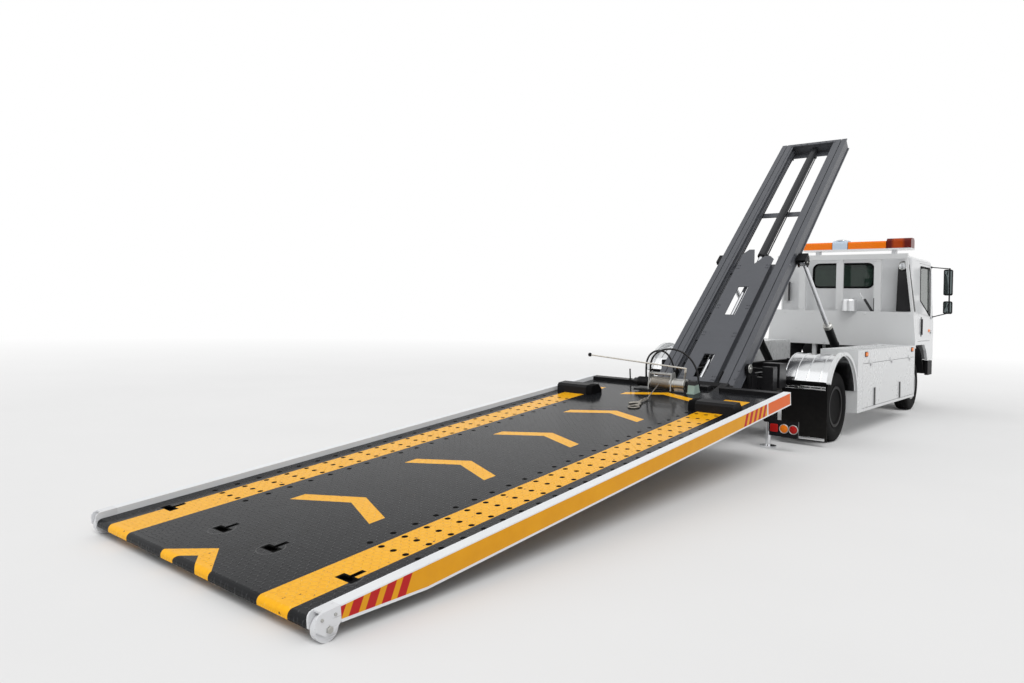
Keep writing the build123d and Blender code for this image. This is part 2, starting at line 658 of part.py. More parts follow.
def screen_box(thick, half, trim, back=0):
    """Box on the windscreen's slope, as long as the slope less trim and set back from it."""
    (ax, az), (bx, bz) = SCREEN_TOP, SCREEN_LOW
    slope = Rot(0, -degrees(atan2(bx - ax, az - bz)), 0)
    pane = Pos(-back, 0, 0) * Box(thick, 2 * half, hypot(bx - ax, az - bz) - trim)
    return Pos((ax + bx) / 2, 0, (az + bz) / 2) * slope * pane


def cab_shell():
    half, wall = CAB_HALF, CAB_WALL
    body = slab_y(CAB_SIDE, -half, half)
    rounded = [e for e in body.edges() if e.center().Z > 1500 and abs(abs(e.center().Y) - half) < 1]
    rounded += body.edges().filter_by(Axis.Y).sort_by(lambda e: e.center().X - e.center().Z)[0:1]
    body = fillet([e for e in rounded if e.center().Z > 1100], CAB_ROUND)
    inside = inset_slab(CAB_SIDE, wall, -half + wall, half - wall)
    body -= inside - block(3500, 5300, -half, half, 700, CAB_SILL + wall)
    body -= block(4500, CAB_FRONT_X - wall, -half + wall, half - wall, 700, CAB_SILL)
    for side in (-1, 1):
        y0, y1 = sorted((side * (half - wall - 5), side * (half + 5)))
        body -= slab_y(DOOR_SIDE, y0, y1)
    body -= round_slab_x(*REAR_PANE, 90, CAB_REAR_X - 5, CAB_REAR_X + wall + 5)
    body -= screen_box(200, half - 75, 70)
    for i in range(4):
        body -= block(CAB_FRONT_X - 20, CAB_FRONT_X + 5, -430, 430, 1050 + 55 * i, 1078 + 55 * i)
    for z in (1200.0, 1440.0):
        leaf = hinge_half(z, DOOR_HINGE_X, DOOR_HINGE_X + 50)
        body += both(leaf + block(5020, 5040, half - 1, half + 5, z, z + 30))
    return body


def cab_glass():
    y0, y1, z0, z1 = REAR_PANE
    rear = round_slab_x(y0 + RUN, y1 - RUN, z0 + RUN, z1 - RUN, 89.5, CAB_REAR_X + 12, CAB_REAR_X + 18)
    return screen_box(6, CAB_HALF - 75.5, 71, 14) + rear


def cab_door():
    half = CAB_HALF
    door = inset_slab(DOOR_SIDE, GAP, half - CAB_WALL, half)
    door -= slab_y(PANE_SIDE, half - CAB_WALL - 5, half + 5)
    door += block(4300, 4324, half - 1, half + 24, 1190, 1440)
    for z in (1200.0 + 30 + SEAT, 1440.0 + 30 + SEAT):
        door += hinge_half(z, DOOR_HINGE_X - 60, DOOR_HINGE_X)
        door += block(DOOR_HINGE_X - 60, DOOR_HINGE_X - 20, half - 1, half + 5, z, z + 30)
    return door


def door_glass():
    return inset_slab(PANE_SIDE, 0.4, CAB_HALF - 22, CAB_HALF - 16)


def cab_inside():
    front = CAB_FRONT_X - CAB_WALL
    outline = [(4830, 1350), (4830, 1520), (4990, 1560), (5070, 1470), (5100, 1400), (5100, 1250), (4900, 1250)]
    body = slab_y(outline, -CAB_HALF + CAB_WALL + 12, CAB_HALF - CAB_WALL - 12)
    body += block(5095, front - SEAT, -300, 300, 1250, 1290)
    for y in (-640, 0, 640):
        body += block(3760, 4260, y - 240, y + 240, 1180, 1330)
        body += block(3660, 3790, y - 240, y + 240, 1300, 1900)
        body += block(3800, 4200, y - 180, y + 180, CAB_SILL + CAB_WALL + SEAT, 1185)
    hub = Pos(4640, 560, 1560) * Rot(0, -35, 0)
    wheel = hub * Torus(205, 16) + hub * Box(24, 400, 14) + hub * Cylinder(40, 40)
    return body + wheel + bar((4640, 560, 1560), (4880, 560, 1300), 22)


# Cab outside: bumper, wheel arch liners, mounts, lamps and mirrors
def front_bumper():
    outer = block(4845, NOSE_X, -1000, 1000, 520, 750)
    outer = fillet(outer.edges().filter_by(Axis.Z).group_by(Axis.X)[-1], 90)
    inner = block(4840, NOSE_X - 45, -952, 952, 510, 760)
    inner = fillet(inner.edges().filter_by(Axis.Z).group_by(Axis.X)[-1], 50)
    return outer - inner + both(block(CHASSIS_FRONT_X + SEAT, NOSE_X - 44, 360, 410, 560, 740))


def arch_liners():
    liner = arc_y(WHEELBASE, 455, 560, 568, 690, 958, 12, 168)
    liner += block(WHEELBASE - 60, WHEELBASE + 60, 700, 950, 1018, CAB_SILL - SEAT)
    return both(liner)


def cab_mounts():
    low, high = RAIL_TOP + SEAT, CAB_SILL - SEAT
    return both(block(3640, 3720, 330, 410, low, high)) + both(block(4700, 4780, 330, 410, low, high))


def headlamps():
    lamp = block(CAB_FRONT_X + SEAT, CAB_FRONT_X + 26, 640, 960, 775, 930)
    return both(fillet(lamp.edges().filter_by(Axis.X), 35))


def light_bar():
    z = CAB_ROOF + 140
    body = block(4120, 4360, -870, 820, z, z + 22)
    domes = ((350, 818, 150, 34), (100, 340, 178, 60), (-495, 90, 150, 34), (-868, -505, 188, 60))
    for y0, y1, high, r in domes:
        dome = block(4128, 4352, y0, y1, z + 21, z + high)
        body += fillet(dome.edges().filter_by(Axis.Y).group_by(Axis.Z)[-1], r)
    for y in (-600, 600):
        body += block(4180, 4300, y - 30, y + 30, CAB_ROOF + SEAT, z + 1)
    return body


def lamp_boards():
    y0 = LEG_Y + 70
    body = block(-1120, -1095, y0, 1000, 160, 330) + block(-1120, -1095, y0, y0 + 50, 329, 400)
    body += block(-1096, -1000, y0 + 5, y0 + 45, 310, 400)
    body += block(-1020, -1000, LEG_Y + 60 + SEAT, y0 + 45, 310, 400)
    return both(body)


def mirrors():
    half = CAB_HALF
    arm = bar((4942, half + 9, 2300), (5061, 1252, 2279), 8)
    arm += block(4926, 4958, half + SEAT, half + 12, 2285, 2315)
    arm += bar((5075, half + 9, 1480), (5061, 1252, 1552), 8)
    arm += block(5055, 5095, half + SEAT, half + 12, 1465, 1495)
    arm += rod_z(5060, 1250, 1540, 2290, 11)
    for z0, z1 in ((1840, 2270), (1535, 1745)):
        head = block(5068, 5120, 1160, 1290, z0, z1)
        arm += fillet(head.edges().filter_by(Axis.X), 28)
    return both(arm)


# Headboard with its guard of flat tubes, beacon canister, air intake and work lamp
def headboard():
    x = BOARD_X
    body = slab_x([(-1120, BOARD_LOW), (-1082, BOARD_TOP), (1082, BOARD_TOP), (1120, BOARD_LOW)], x, x + 40)
    body += both(block(x + 39, x + 100, 345, 405, RAIL_TOP + SEAT, BOARD_TOP - 20))
    canister = rod_z(x + 5, -165, BOARD_TOP - 1, BOARD_TOP + 197, 111)
    body += fillet(canister.edges().group_by(Axis.Z)[-1], 45)
    strut = [(-525, BOARD_TOP - 2), (-480, BOARD_TOP - 2), (-362, 1735), (-405, 1735)]
    return body + slab_x(strut, x + 5, x + 15)


def guard():
    x = BOARD_X + 20
    body = block(x - 25, x + 25, -987, 987, GUARD_LOW, GUARD_TOP)
    for y in (-570, -10, 575):
        body += block(x - 20, x + 20, y - 52, y + 52, BOARD_TOP - 1, GUARD_LOW + 1)
    end = [(1047, BOARD_TOP - 1), (1082, BOARD_TOP - 1), (985, GUARD_LOW + 1), (950, GUARD_LOW + 1)]
    return body + both(slab_x(end, x - 20, x + 20))


def intake():
    outline = [(-820, 1552), (-838, 2250), (-860, 2300), (-905, 2318), (-950, 2300), (-974, 2250), (-1070, 1552)]
    body = slab_x(outline, 3490, CAB_REAR_X - SEAT) + rod_x(-905, 2240, 3462, 3491, 60)
    return body + block(3500, CAB_REAR_X - SEAT, 840, 900, 1690, 2010)


# Tool lockers, each with a lift-up door, a raised rim and the side panel's arch over the wheels
def locker():
    x0, x1, t = BOX_X0, BOX_X1, BOX_T
    body = block(x0, x1, BOX_IN, BOX_OUT, BOX_LOW, BOX_TOP)
    body += block(x0, x1, BOX_IN, BOX_OUT, BOX_TOP - 1, BOX_TOP + 12)
    body -= block(x0 + 12, x1 - 12, BOX_IN + 12, BOX_OUT - 12, BOX_TOP, BOX_TOP + 13)
    body -= block(x0 + t, x1 - t, BOX_IN + t, BOX_OUT - t, BOX_LOW + t, BOX_TOP - t)
    body -= block(BOX_DOOR_X0, BOX_DOOR_X1, BOX_OUT - t - 5, BOX_OUT + 5, BOX_LOW + 35, BOX_SEAM)
    for x in hinge_places():
        body += rod_x(BOX_HINGE_Y, BOX_SEAM, x, x + 60, 8)
        body += block(x, x + 60, BOX_OUT - 1, BOX_HINGE_Y, BOX_SEAM + 1, BOX_SEAM + 40)
    for x in (x0 + 300, x1 - 380):
        body += block(x, x + 80, RAIL_OUTER_Y + SEAT, BOX_IN + 1, 590, 660)
    arch = arc_y(ARCH_X, ARCH_Z, ARCH_R + SEAT, ARCH_R + 40, 1100, BOX_OUT, ARCH_FROM, ARCH_TO)
    arch -= block(x0 + 1, x0 + 200, 1000, 1200, BOX_LOW, BOX_TOP)
    return body + arch


def hinge_places():
    span = BOX_DOOR_X1 - BOX_DOOR_X0
    return [BOX_DOOR_X0 + share * span for share in (0.1, 0.48, 0.86)]


def locker_door():
    low, high = BOX_LOW + 35 + GAP, BOX_SEAM - GAP
    door = block(BOX_DOOR_X0 + GAP, BOX_DOOR_X1 - GAP, BOX_OUT - BOX_T, BOX_OUT, low, high)
    for x in (1170, 2420):
        door += block(x - 24, x + 24, BOX_OUT - 1, BOX_OUT + 12, 345, 565)
    for x in hinge_places():
        x += 60 + SEAT
        door += rod_x(BOX_HINGE_Y, BOX_SEAM, x, x + 60, 8)
        door += block(x, x + 60, BOX_OUT - 1, BOX_HINGE_Y, BOX_SEAM - 40, BOX_SEAM - 1)
    return door


# Half-round rear mudguards with their ribs, flaps and stays
def mudguards():
    x, z, r = ARCH_X, ARCH_Z, ARCH_R
    body = arc_y(x, z, r - 6, r, 600, 1110, ARCH_FROM, ARCH_TO)
    for y in (740, 870, 1010):
        body += arc_y(x, z, r - 2, r + 4, y - 5, y + 5, ARCH_FROM, ARCH_TO)
    end_x, end_z = x + r * cos(radians(ARCH_TO)), z + r * sin(radians(ARCH_TO))
    body += rod_y(end_x + 6, end_z, 602, 1098, 14)
    body += block(end_x, end_x + 12, 602, 1106, 60, end_z)
    body += block(-300, -270, RAIL_OUTER_Y + SEAT, 575, 705, 730)
    return both(body + block(-300, -270, 560, 601, 705, 951))


parts["chassis_frame"] = chassis() + lift_brackets()
parts["hinge_stand"] = hinge_stand()
parts["front_axle"] = front_axle()
parts["rear_axle"] = rear_axle()
parts["springs"] = spring_pack(WHEELBASE, 620, 380 + SEAT) + spring_pack(0, 640, TYRE_R + 70 + SEAT)
parts["engine_block"] = engine_block()
parts["leg_left"] = leg()
parts["tyre_front_left"] = tyre(WHEELBASE, FRONT_TYRE_Y)
parts["wheel_front_left"] = front_wheel()
parts["tyres_rear_left"] = tyre(0, REAR_OUTER_Y) + tyre(0, REAR_INNER_Y)
parts["wheels_rear_left"] = rear_wheel()
parts["knuckle_left"] = knuckle()
parts["tilt_beams"] = on_frame(tilt_beams() + tilt_cross())
parts["tilt_fittings"] = tilt_pin() + lift_clevis()
parts["slide_barrel"] = slide_barrel()
parts["slide_plate"] = slide_plate()
parts["slide_rod"] = slide_rod()
parts["carriage"] = carriage()
parts["deck_sheet"] = deck_sheet()
parts["deck_rails"] = on_deck(both(side_rail()))
stops = wheel_stop(-620, DECK_INNER - 425) + wheel_stop(-800, 60 - DECK_INNER)
parts["deck_frame"] = deck_frame() + on_deck(stops)
parts["tail_shoes"] = tail_shoes()
parts["tail_roller_left"] = tail_roller()
parts["winch_frame"] = winch_frame()
parts["winch_drum"] = winch_drum()
for name, points in HOSE_PATHS.items():
    parts[name] = hose(points)
parts["lift_barrel_left"] = lift_barrel()
parts["lift_rod_left"] = lift_rod()
parts["cab_shell"] = cab_shell()
parts["cab_glass"] = cab_glass()
parts["cab_door_left"] = cab_door()
parts["door_glass_left"] = door_glass()
parts["cab_inside"] = cab_inside()
parts["front_bumper"] = front_bumper() + arch_liners() + cab_mounts()
parts["lamps"] = headlamps() + lamp_boards() + light_bar()
parts["mirrors"] = mirrors()
parts["headboard"] = headboard() + guard() + intake()
parts["lockers"] = both(locker())
parts["locker_door_left"] = locker_door()
parts["mudguards"] = mudguards()

for name in [n for n in parts if n.endswith("_left")]:
    parts[name.replace("_left", "_right")] = flip(parts[name])

os.makedirs("parts", exist_ok=True)
for name, shape in parts.items():
    export_step(Pos(-MID_X, 0, 0) * shape, "parts/" + name + ".step")
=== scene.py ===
import json
import bmesh
import bpy
import numpy as np
from mathutils import Matrix, Vector


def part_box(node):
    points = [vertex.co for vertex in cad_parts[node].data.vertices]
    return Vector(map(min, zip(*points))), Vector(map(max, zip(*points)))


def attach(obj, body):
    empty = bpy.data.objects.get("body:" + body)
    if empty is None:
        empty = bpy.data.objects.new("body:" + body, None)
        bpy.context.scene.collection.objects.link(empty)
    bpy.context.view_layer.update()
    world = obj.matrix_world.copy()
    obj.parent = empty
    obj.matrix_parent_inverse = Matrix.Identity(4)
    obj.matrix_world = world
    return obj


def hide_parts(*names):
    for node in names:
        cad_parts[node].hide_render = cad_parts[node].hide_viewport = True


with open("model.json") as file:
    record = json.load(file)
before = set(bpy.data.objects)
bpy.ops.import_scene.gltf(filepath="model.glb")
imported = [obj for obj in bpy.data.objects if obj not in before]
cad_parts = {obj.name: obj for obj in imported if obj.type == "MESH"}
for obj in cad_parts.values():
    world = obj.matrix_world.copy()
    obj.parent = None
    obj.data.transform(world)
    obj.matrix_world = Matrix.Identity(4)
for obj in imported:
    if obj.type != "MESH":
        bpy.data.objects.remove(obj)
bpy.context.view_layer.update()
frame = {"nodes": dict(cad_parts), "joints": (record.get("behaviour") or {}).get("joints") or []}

TAU = 2 * np.pi
SHARP_EDGE = np.radians(40)
nodes = frame["nodes"]
joints = {j["name"]: j for j in frame["joints"]}

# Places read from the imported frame, in metres
AXLE_X = sum(c[0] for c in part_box("tyres_rear_left")) / 2
PIN = np.array(joints["bed_hinge"]["pos_m"], float)
ROLLER = np.array(joints["tail_roller_left_spin"]["pos_m"], float)
HINGE = np.array(joints["tilt"]["pos_m"], float)

# Sizes on the bed and on the tilt frame, along and above each one's own pin
ROLLER_LOCAL = (-5.396, 0.0113)
roller_dip = np.arctan2(-ROLLER_LOCAL[1], -ROLLER_LOCAL[0])
BED_SLOPE = np.arctan2(PIN[2] - ROLLER[2], PIN[0] - ROLLER[0]) - roller_dip
BED_UP = np.array([-np.sin(BED_SLOPE), 0, np.cos(BED_SLOPE)])
SHEET_TOP = 0.055
DECK_TAIL = -5.460
RAIL_SIDE = 1.155
WINCH = (-0.250, -0.035, 0.131)
TILT = np.radians(42.0)
TILT_UP = np.array([-np.sin(TILT), 0, np.cos(TILT)])
FRAME_TAIL = 0.370
FRAME_ABOVE_PIN = 0.110

TYRE_R = 0.405
HALF_TYRE = 0.107
FRONT_WHEEL_Y = 0.815
REAR_WHEEL_Y = 0.936
SIDES = {"left": 1, "right": -1}


def spin_up(v, angle, x0, z0):
    """x' = x0 + x cos a - z sin a, z' = z0 + x sin a + z cos a: a point turned nose up by a."""
    v = np.asarray(v, float)
    out = v.copy()
    out[..., 0] = x0 + v[..., 0] * np.cos(angle) - v[..., 2] * np.sin(angle)
    out[..., 2] = z0 + v[..., 0] * np.sin(angle) + v[..., 2] * np.cos(angle)
    return out


def on_bed(v):
    return spin_up(v, BED_SLOPE, PIN[0], PIN[2])


def on_tilt(v):
    """Places a point given along the tilt frame from its low end, across it and off its upper face."""
    v = np.asarray(v, float) + [-FRAME_TAIL, 0, FRAME_ABOVE_PIN]
    return spin_up(v, TILT, HINGE[0], HINGE[2])


def on_truck(v):
    """Places a point given forward of the rear axle."""
    return np.asarray(v, float) + [AXLE_X, 0, 0]


# Shapes, as pairs of points and faces, and the outlines and paths they follow
def grid_faces(rows, columns, wrap_rows=False, wrap_columns=False):
    """Quads of a rows x columns grid, as index arrays; a wrapped side joins its last line to its first."""
    down, along = np.arange(rows - (not wrap_rows)), np.arange(columns - (not wrap_columns))
    i, j = np.meshgrid(down, along, indexing="ij")
    i2, j2 = (i + 1) % rows, (j + 1) % columns
    quads = np.stack([i * columns + j, i2 * columns + j, i2 * columns + j2, i * columns + j2], -1)
    return quads.reshape(-1, 4).tolist()


def lathe(profile, steps, relief=None):
    """Turns (offset, radius) pairs about the Y axis: x = r sin t, y = offset, z = r cos t.
    relief(t, offset, r) gives the radius's change over the whole grid."""
    offset, radius = np.array(profile, float).T
    t = np.arange(steps)[:, None] * TAU / steps
    r = radius[None, :] + 0 * t + (0 if relief is None else relief(t, offset[None, :], radius[None, :]))
    v = np.stack([r * np.sin(t), np.broadcast_to(offset, r.shape), r * np.cos(t)], -1).reshape(-1, 3)
    n = len(offset)
    faces = grid_faces(steps, n, wrap_rows=True)
    ring = np.arange(steps) * n
    faces.append(ring.tolist())
    faces.append((ring + n - 1)[::-1].tolist())
    return v, faces


def along_y(shape, centre):
    v, f = shape
    return v + np.asarray(centre, float), f


def turned(shape, forward, centre):
    """Carries a shape lathed about Y so that its axis points along forward."""
    v, f = shape
    b = np.asarray(forward, float) / np.linalg.norm(forward)
    side = np.cross(b, [0.0, 0, 1] if abs(b[2]) < 0.9 else [1.0, 0, 0])
    a = side / np.linalg.norm(side)
    c = np.cross(a, b)
    return v @ np.array([a, b, c]) + np.asarray(centre, float), f


def rounded_outline(w, h, r, steps=4):
    """Points of a w x h rectangle with corners of radius r: corner centre + r (cos t, sin t)."""
    t = np.linspace(0, np.pi / 2, steps + 1)
    out = []
    for k, (sx, sy) in enumerate(((1, 1), (-1, 1), (-1, -1), (1, -1))):
        a = t + k * np.pi / 2
        out.append(np.stack([sx * (w / 2 - r) + r * np.cos(a), sy * (h / 2 - r) + r * np.sin(a)], -1))
    return np.concatenate(out)


def loaf(centre, size, axis, r, edge=None):
    """Rounded rectangle carried along one axis, its end rings drawn in by the edge radius:
    ring k = outline shrunk by e(1 - sin a), at half length - e(1 - cos a)."""
    edge = min(r, min(size) / 3) if edge is None else edge
    size = np.array(size, float)
    k = "xyz".index(axis)
    u, w = [(1, 2), (2, 0), (0, 1)][k]
    a = np.linspace(0, np.pi / 2, 4)
    inward, lengthwise = edge * (1 - np.sin(a)), edge * (1 - np.cos(a))
    shrink = np.concatenate([inward, inward[::-1]])
    place = np.concatenate([-size[k] / 2 + lengthwise, size[k] / 2 - lengthwise[::-1]])
    base = rounded_outline(size[u], size[w], r)
    rings = []
    for s, p in zip(shrink, place):
        ring = np.zeros((len(base), 3))
        ring[:, u] = base[:, 0] * (1 - 2 * s / size[u])
        ring[:, w] = base[:, 1] * (1 - 2 * s / size[w])
        ring[:, k] = p
        rings.append(ring)
    v = np.concatenate(rings) + np.asarray(centre, float)
    n, m = len(rings), len(base)
    faces = [f[::-1] for f in grid_faces(n, m, wrap_columns=True)]
    faces.append(np.arange(m)[::-1].tolist())
    faces.append((np.arange(m) + (n - 1) * m).tolist())
    return v, faces


def tube(path, radius, sides=10, closed=False):
    """Circle of the radius carried along a path: p + r (n cos t + b sin t), n and b square to the path."""
    p = np.asarray(path, float)
    d = np.roll(p, -1, 0) - np.roll(p, 1, 0) if closed else np.gradient(p, axis=0)
    d /= np.linalg.norm(d, axis=1)[:, None]
    n = np.cross(d[0], [0.31, 0.17, 0.93])
    frames = []
    for k in range(len(p)):
        n = n - d[k] * np.dot(n, d[k])
        n /= np.linalg.norm(n)
        frames.append(n)
    n = np.array(frames)
    b = np.cross(d, n)
    t = np.arange(sides) * TAU / sides
    r = np.broadcast_to(np.asarray(radius, float), (len(p),))[:, None, None]
    v = p[:, None] + r * (n[:, None] * np.cos(t)[None, :, None] + b[:, None] * np.sin(t)[None, :, None])
    faces = grid_faces(len(p), sides, wrap_rows=closed, wrap_columns=True)
    faces = [f[::-1] for f in faces]
    if not closed:
        faces.append(np.arange(sides)[::-1].tolist())
        faces.append((np.arange(sides) + (len(p) - 1) * sides).tolist())
    return v.reshape(-1, 3), faces


def smooth_path(points, count):
    """Catmull-Rom curve through the points, count samples: cubic blend of four neighbours."""
    p = np.asarray(points, float)
    p = np.concatenate([[2 * p[0] - p[1]], p, [2 * p[-1] - p[-2]]])
    t = np.linspace(0, len(p) - 3 - 1e-9, count)
    k = t.astype(int)
    u = (t - k)[:, None]
    a, b, c, d = p[k], p[k + 1], p[k + 2], p[k + 3]
    square, cube = 2 * a - 5 * b + 4 * c - d, 3 * b - a - 3 * c + d
    return 0.5 * (2 * b + (c - a) * u + square * u ** 2 + cube * u ** 3)


def ridge_loop(outline, plane_point, axes, width, height):
    """Rounded strip round a closed outline: a half-round profile carried along it."""
    o = np.asarray(outline, float)
    u, w = np.asarray(axes[0], float), np.asarray(axes[1], float)
    n = np.cross(u, w)
    path = np.asarray(plane_point, float) + o[:, :1] * u + o[:, 1:] * w
    d = np.roll(path, -1, 0) - np.roll(path, 1, 0)
    d /= np.linalg.norm(d, axis=1)[:, None]
    side = np.cross(d, n)
    a = np.linspace(0, np.pi, 7)
    sideways, outward = (width / 2 * np.cos(a))[:, None], (height * np.sin(a))[:, None]
    v = path[:, None] + side[:, None] * sideways + n * outward
    faces = grid_faces(len(path), len(a), wrap_rows=True, wrap_columns=True)
    return v.reshape(-1, 3), faces


def join(*shapes):
    points, faces, base = [], [], 0
    for v, f in shapes:
        points.append(np.asarray(v, float))
        faces += [[i + base for i in face] for face in f]
        base += len(v)
    return np.concatenate(points), faces


def mirrored(shape):
    """The same shape on the other side: y changes sign and the faces run the other way."""
    v, f = shape
    return v * [1, -1, 1], [face[::-1] for face in f]


def both_sides(*shapes):
    return join(*shapes, *[mirrored(shape) for shape in shapes])


def placed(name, data):
    obj = bpy.data.objects.new(name, data)
    bpy.context.scene.collection.objects.link(obj)
    return obj


def piece(name, shape, look, body="chassis", slot=None, outward=True):
    """One mesh of a shape or a list of shapes, riding a body. A slot is picked for it, the usual one of its
    look unless another is given, but it is not given to the mesh."""
    v, f = join(*shape) if isinstance(shape, list) else shape
    mesh = bpy.data.meshes.new(name)
    mesh.from_pydata(np.asarray(v, float).tolist(), [], f)
    if outward:
        bm = bmesh.new()
        bm.from_mesh(mesh)
        bmesh.ops.recalc_face_normals(bm, faces=bm.faces)
        bm.to_mesh(mesh)
        bm.free()
    mesh.polygons.foreach_set("use_smooth", [True] * len(mesh.polygons))
    mesh.set_sharp_from_angle(angle=SHARP_EDGE)
    mesh.materials.append(MATERIALS[look])
    obj = placed(name, mesh)
    if slot is None:
        slot = USUAL_SLOT[look]
    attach(obj, body)
    return obj


def piece_each_side(name, shape, look, body):
    """The left piece on the left body, and its mirror image on the right one."""
    piece(name + "_left", shape, look, body + "_left")
    piece(name + "_right", mirrored(shape), look, body + "_right")


# Shader arithmetic: a Wire is one value inside a material or a group
class Wire:
    def __init__(self, tree, socket):
        self.tree, self.socket = tree, socket

    def op(self, kind, *others, clamp=False):
        node = self.tree.nodes.new("ShaderNodeMath")
        node.operation = kind
        node.use_clamp = clamp
        for i, v in enumerate((self,) + others):
            if isinstance(v, Wire):
                self.tree.links.new(v.socket, node.inputs[i])
            else:
                node.inputs[i].default_value = float(v)
        return Wire(self.tree, node.outputs[0])

    def __add__(self, v):
        return self.op("ADD", v)

    def __sub__(self, v):
        return self.op("SUBTRACT", v)

    def __mul__(self, v):
        return self.op("MULTIPLY", v)

    def __truediv__(self, v):
        return self.op("DIVIDE", v)

    def __abs__(self):
        return self.op("ABSOLUTE")

    def flip(self):
        return self.op("MULTIPLY_ADD", -1, 1)

    def clamp(self):
        return self.op("MULTIPLY", 1, clamp=True)

    def above(self, edge, soft=0.001):
        """0 below the edge, 1 above it, over a width of soft."""
        return self.op("SUBTRACT", edge).op("DIVIDE", soft, clamp=True)

    def below(self, edge, soft=0.001):
        return self.above(edge, soft).flip()

    def within(self, low, high, soft=0.001):
        return self.above(low, soft) * self.below(high, soft)

    def either(self, v):
        return self.op("MAXIMUM", v)

    def blend(self, a, b):
        """a where this mask is 0, b where it is 1."""
        return self * b + self.flip() * a

    def colour(self, a, b):
        """Colour a where this mask is 0, b where it is 1; each is a colour or a socket."""
        node = self.tree.nodes.new("ShaderNodeMix")
        node.data_type = "RGBA"
        self.tree.links.new(self.socket, node.inputs[0])
        for socket, v in ((node.inputs[6], a), (node.inputs[7], b)):
            if isinstance(v, tuple):
                socket.default_value = v + (1.0,)
            else:
                self.tree.links.new(v, socket)
        return node.outputs[2]

    def repeat(self, pitch, start=0.0):
        """Distance from the nearest of a row of lines, pitch apart."""
        return ((self - start) / pitch + 0.5).op("FRACT").op("SUBTRACT", 0.5) * pitch


def coordinates(tree, place=None, turn=0.0):
    """X, Y and Z of the shaded point, on the piece's own axes or in a turned frame at place."""
    source = tree.nodes.new("ShaderNodeTexCoord").outputs["Object"]
    if place is not None:
        mapping = tree.nodes.new("ShaderNodeMapping")
        mapping.vector_type = "TEXTURE"
        mapping.inputs["Location"].default_value = tuple(place)
        mapping.inputs["Rotation"].default_value = (0, -turn, 0)
        tree.links.new(source, mapping.inputs["Vector"])
        source = mapping.outputs["Vector"]
    split = tree.nodes.new("ShaderNodeSeparateXYZ")
    tree.links.new(source, split.inputs[0])
    return [Wire(tree, s) for s in split.outputs], source


def noise(tree, scale, detail=3.0, vector=None, stretch=None):
    node = tree.nodes.new("ShaderNodeTexNoise")
    node.inputs["Scale"].default_value = scale
    node.inputs["Detail"].default_value = detail
    if vector is None:
        vector = tree.nodes.new("ShaderNodeTexCoord").outputs["Object"]
    if stretch is not None:
        mapping = tree.nodes.new("ShaderNodeMapping")
        mapping.inputs["Scale"].default_value = stretch
        tree.links.new(vector, mapping.inputs["Vector"])
        vector = mapping.outputs["Vector"]
    tree.links.new(vector, node.inputs["Vector"])
    return Wire(tree, node.outputs["Fac"])


def shader_group(name, inputs, outputs):
    tree = bpy.data.node_groups.new(name, "ShaderNodeTree")
    for label, kind, value in inputs:
        socket = tree.interface.new_socket(label, in_out="INPUT", socket_type=kind)
        if value is not None:
            socket.default_value = value
    for label, kind in outputs:
        tree.interface.new_socket(label, in_out="OUTPUT", socket_type=kind)
    return tree, tree.nodes.new("NodeGroupInput"), tree.nodes.new("NodeGroupOutput")


FLOAT, VECTOR = "NodeSocketFloat", "NodeSocketVector"


def make_weathering():
    """Road dust that fades with height, patchy tone, fine scuffs and a slight ripple in the surface."""
    tree, given, result = shader_group(
        "weathering",
        [("Dust", FLOAT, 0.3), ("Dust height", FLOAT, 0.9), ("Ripple", FLOAT, 0.05), ("Grain", FLOAT, 0.02),
         ("Grain scale", FLOAT, 300.0)],
        [("Tone", FLOAT), ("Dust", FLOAT), ("Scuff", FLOAT), ("Normal", VECTOR)])
    z = coordinates(tree)[0][2]
    pick = {s.name: Wire(tree, s) for s in given.outputs if s.name}
    patches = noise(tree, 2.2, 5.0)
    fine = noise(tree, 22.0, 4.0)
    tone = patches * 0.6 + fine * 0.4
    height = (pick["Dust height"] - z) / pick["Dust height"]
    dust = height.clamp().op("POWER", 1.6) * (patches * 0.8 + fine * 0.9 - 0.25).clamp() * pick["Dust"] * 1.6
    streak = noise(tree, 1.0, 3.0, stretch=(9.0, 160.0, 160.0)).above(0.63, 0.05)
    grain = noise(tree, 1.0, 2.0)
    tree.links.new(pick["Grain scale"].socket, grain.socket.node.inputs["Scale"])
    wave = noise(tree, 3.5, 1.0)
    level = wave * pick["Ripple"] + grain * pick["Grain"]
    bump = tree.nodes.new("ShaderNodeBump")
    bump.inputs["Strength"].default_value = 0.5
    bump.inputs["Distance"].default_value = 0.01
    tree.links.new(level.socket, bump.inputs["Height"])
    for label, v in (("Tone", tone), ("Dust", dust.clamp()), ("Scuff", streak)):
        tree.links.new(v.socket, result.inputs[label])
    tree.links.new(bump.outputs["Normal"], result.inputs["Normal"])
    return tree


def make_chequer():
    """Raised lens-shaped bars on square cells, turned one way and the other like a draught board."""
    tree, given, result = shader_group(
        "chequer_plate", [("Place", VECTOR, None), ("Pitch", FLOAT, 0.032)], [("Height", FLOAT)])
    split = tree.nodes.new("ShaderNodeSeparateXYZ")
    tree.links.new(given.outputs["Place"], split.inputs[0])
    pitch = Wire(tree, given.outputs["Pitch"])
    x, y = Wire(tree, split.outputs[0]) / pitch, Wire(tree, split.outputs[1]) / pitch
    odd = ((x.op("FLOOR") + y.op("FLOOR")) * 0.5).op("FRACT") * 2
    u, v = x.op("FRACT") - 0.5, y.op("FRACT") - 0.5
    sign = odd * 2 - 1
    along = (u + v * sign) * 0.7071
    across = (u * sign - v) * 0.7071
    far = ((along / 0.52).op("POWER", 2) + (across / 0.15).op("POWER", 2)).op("SQRT")
    tree.links.new(far.flip().op("MULTIPLY", 2.2, clamp=True).socket, result.inputs["Height"])
    return tree


WEATHERING = make_weathering()
CHEQUER = make_chequer()


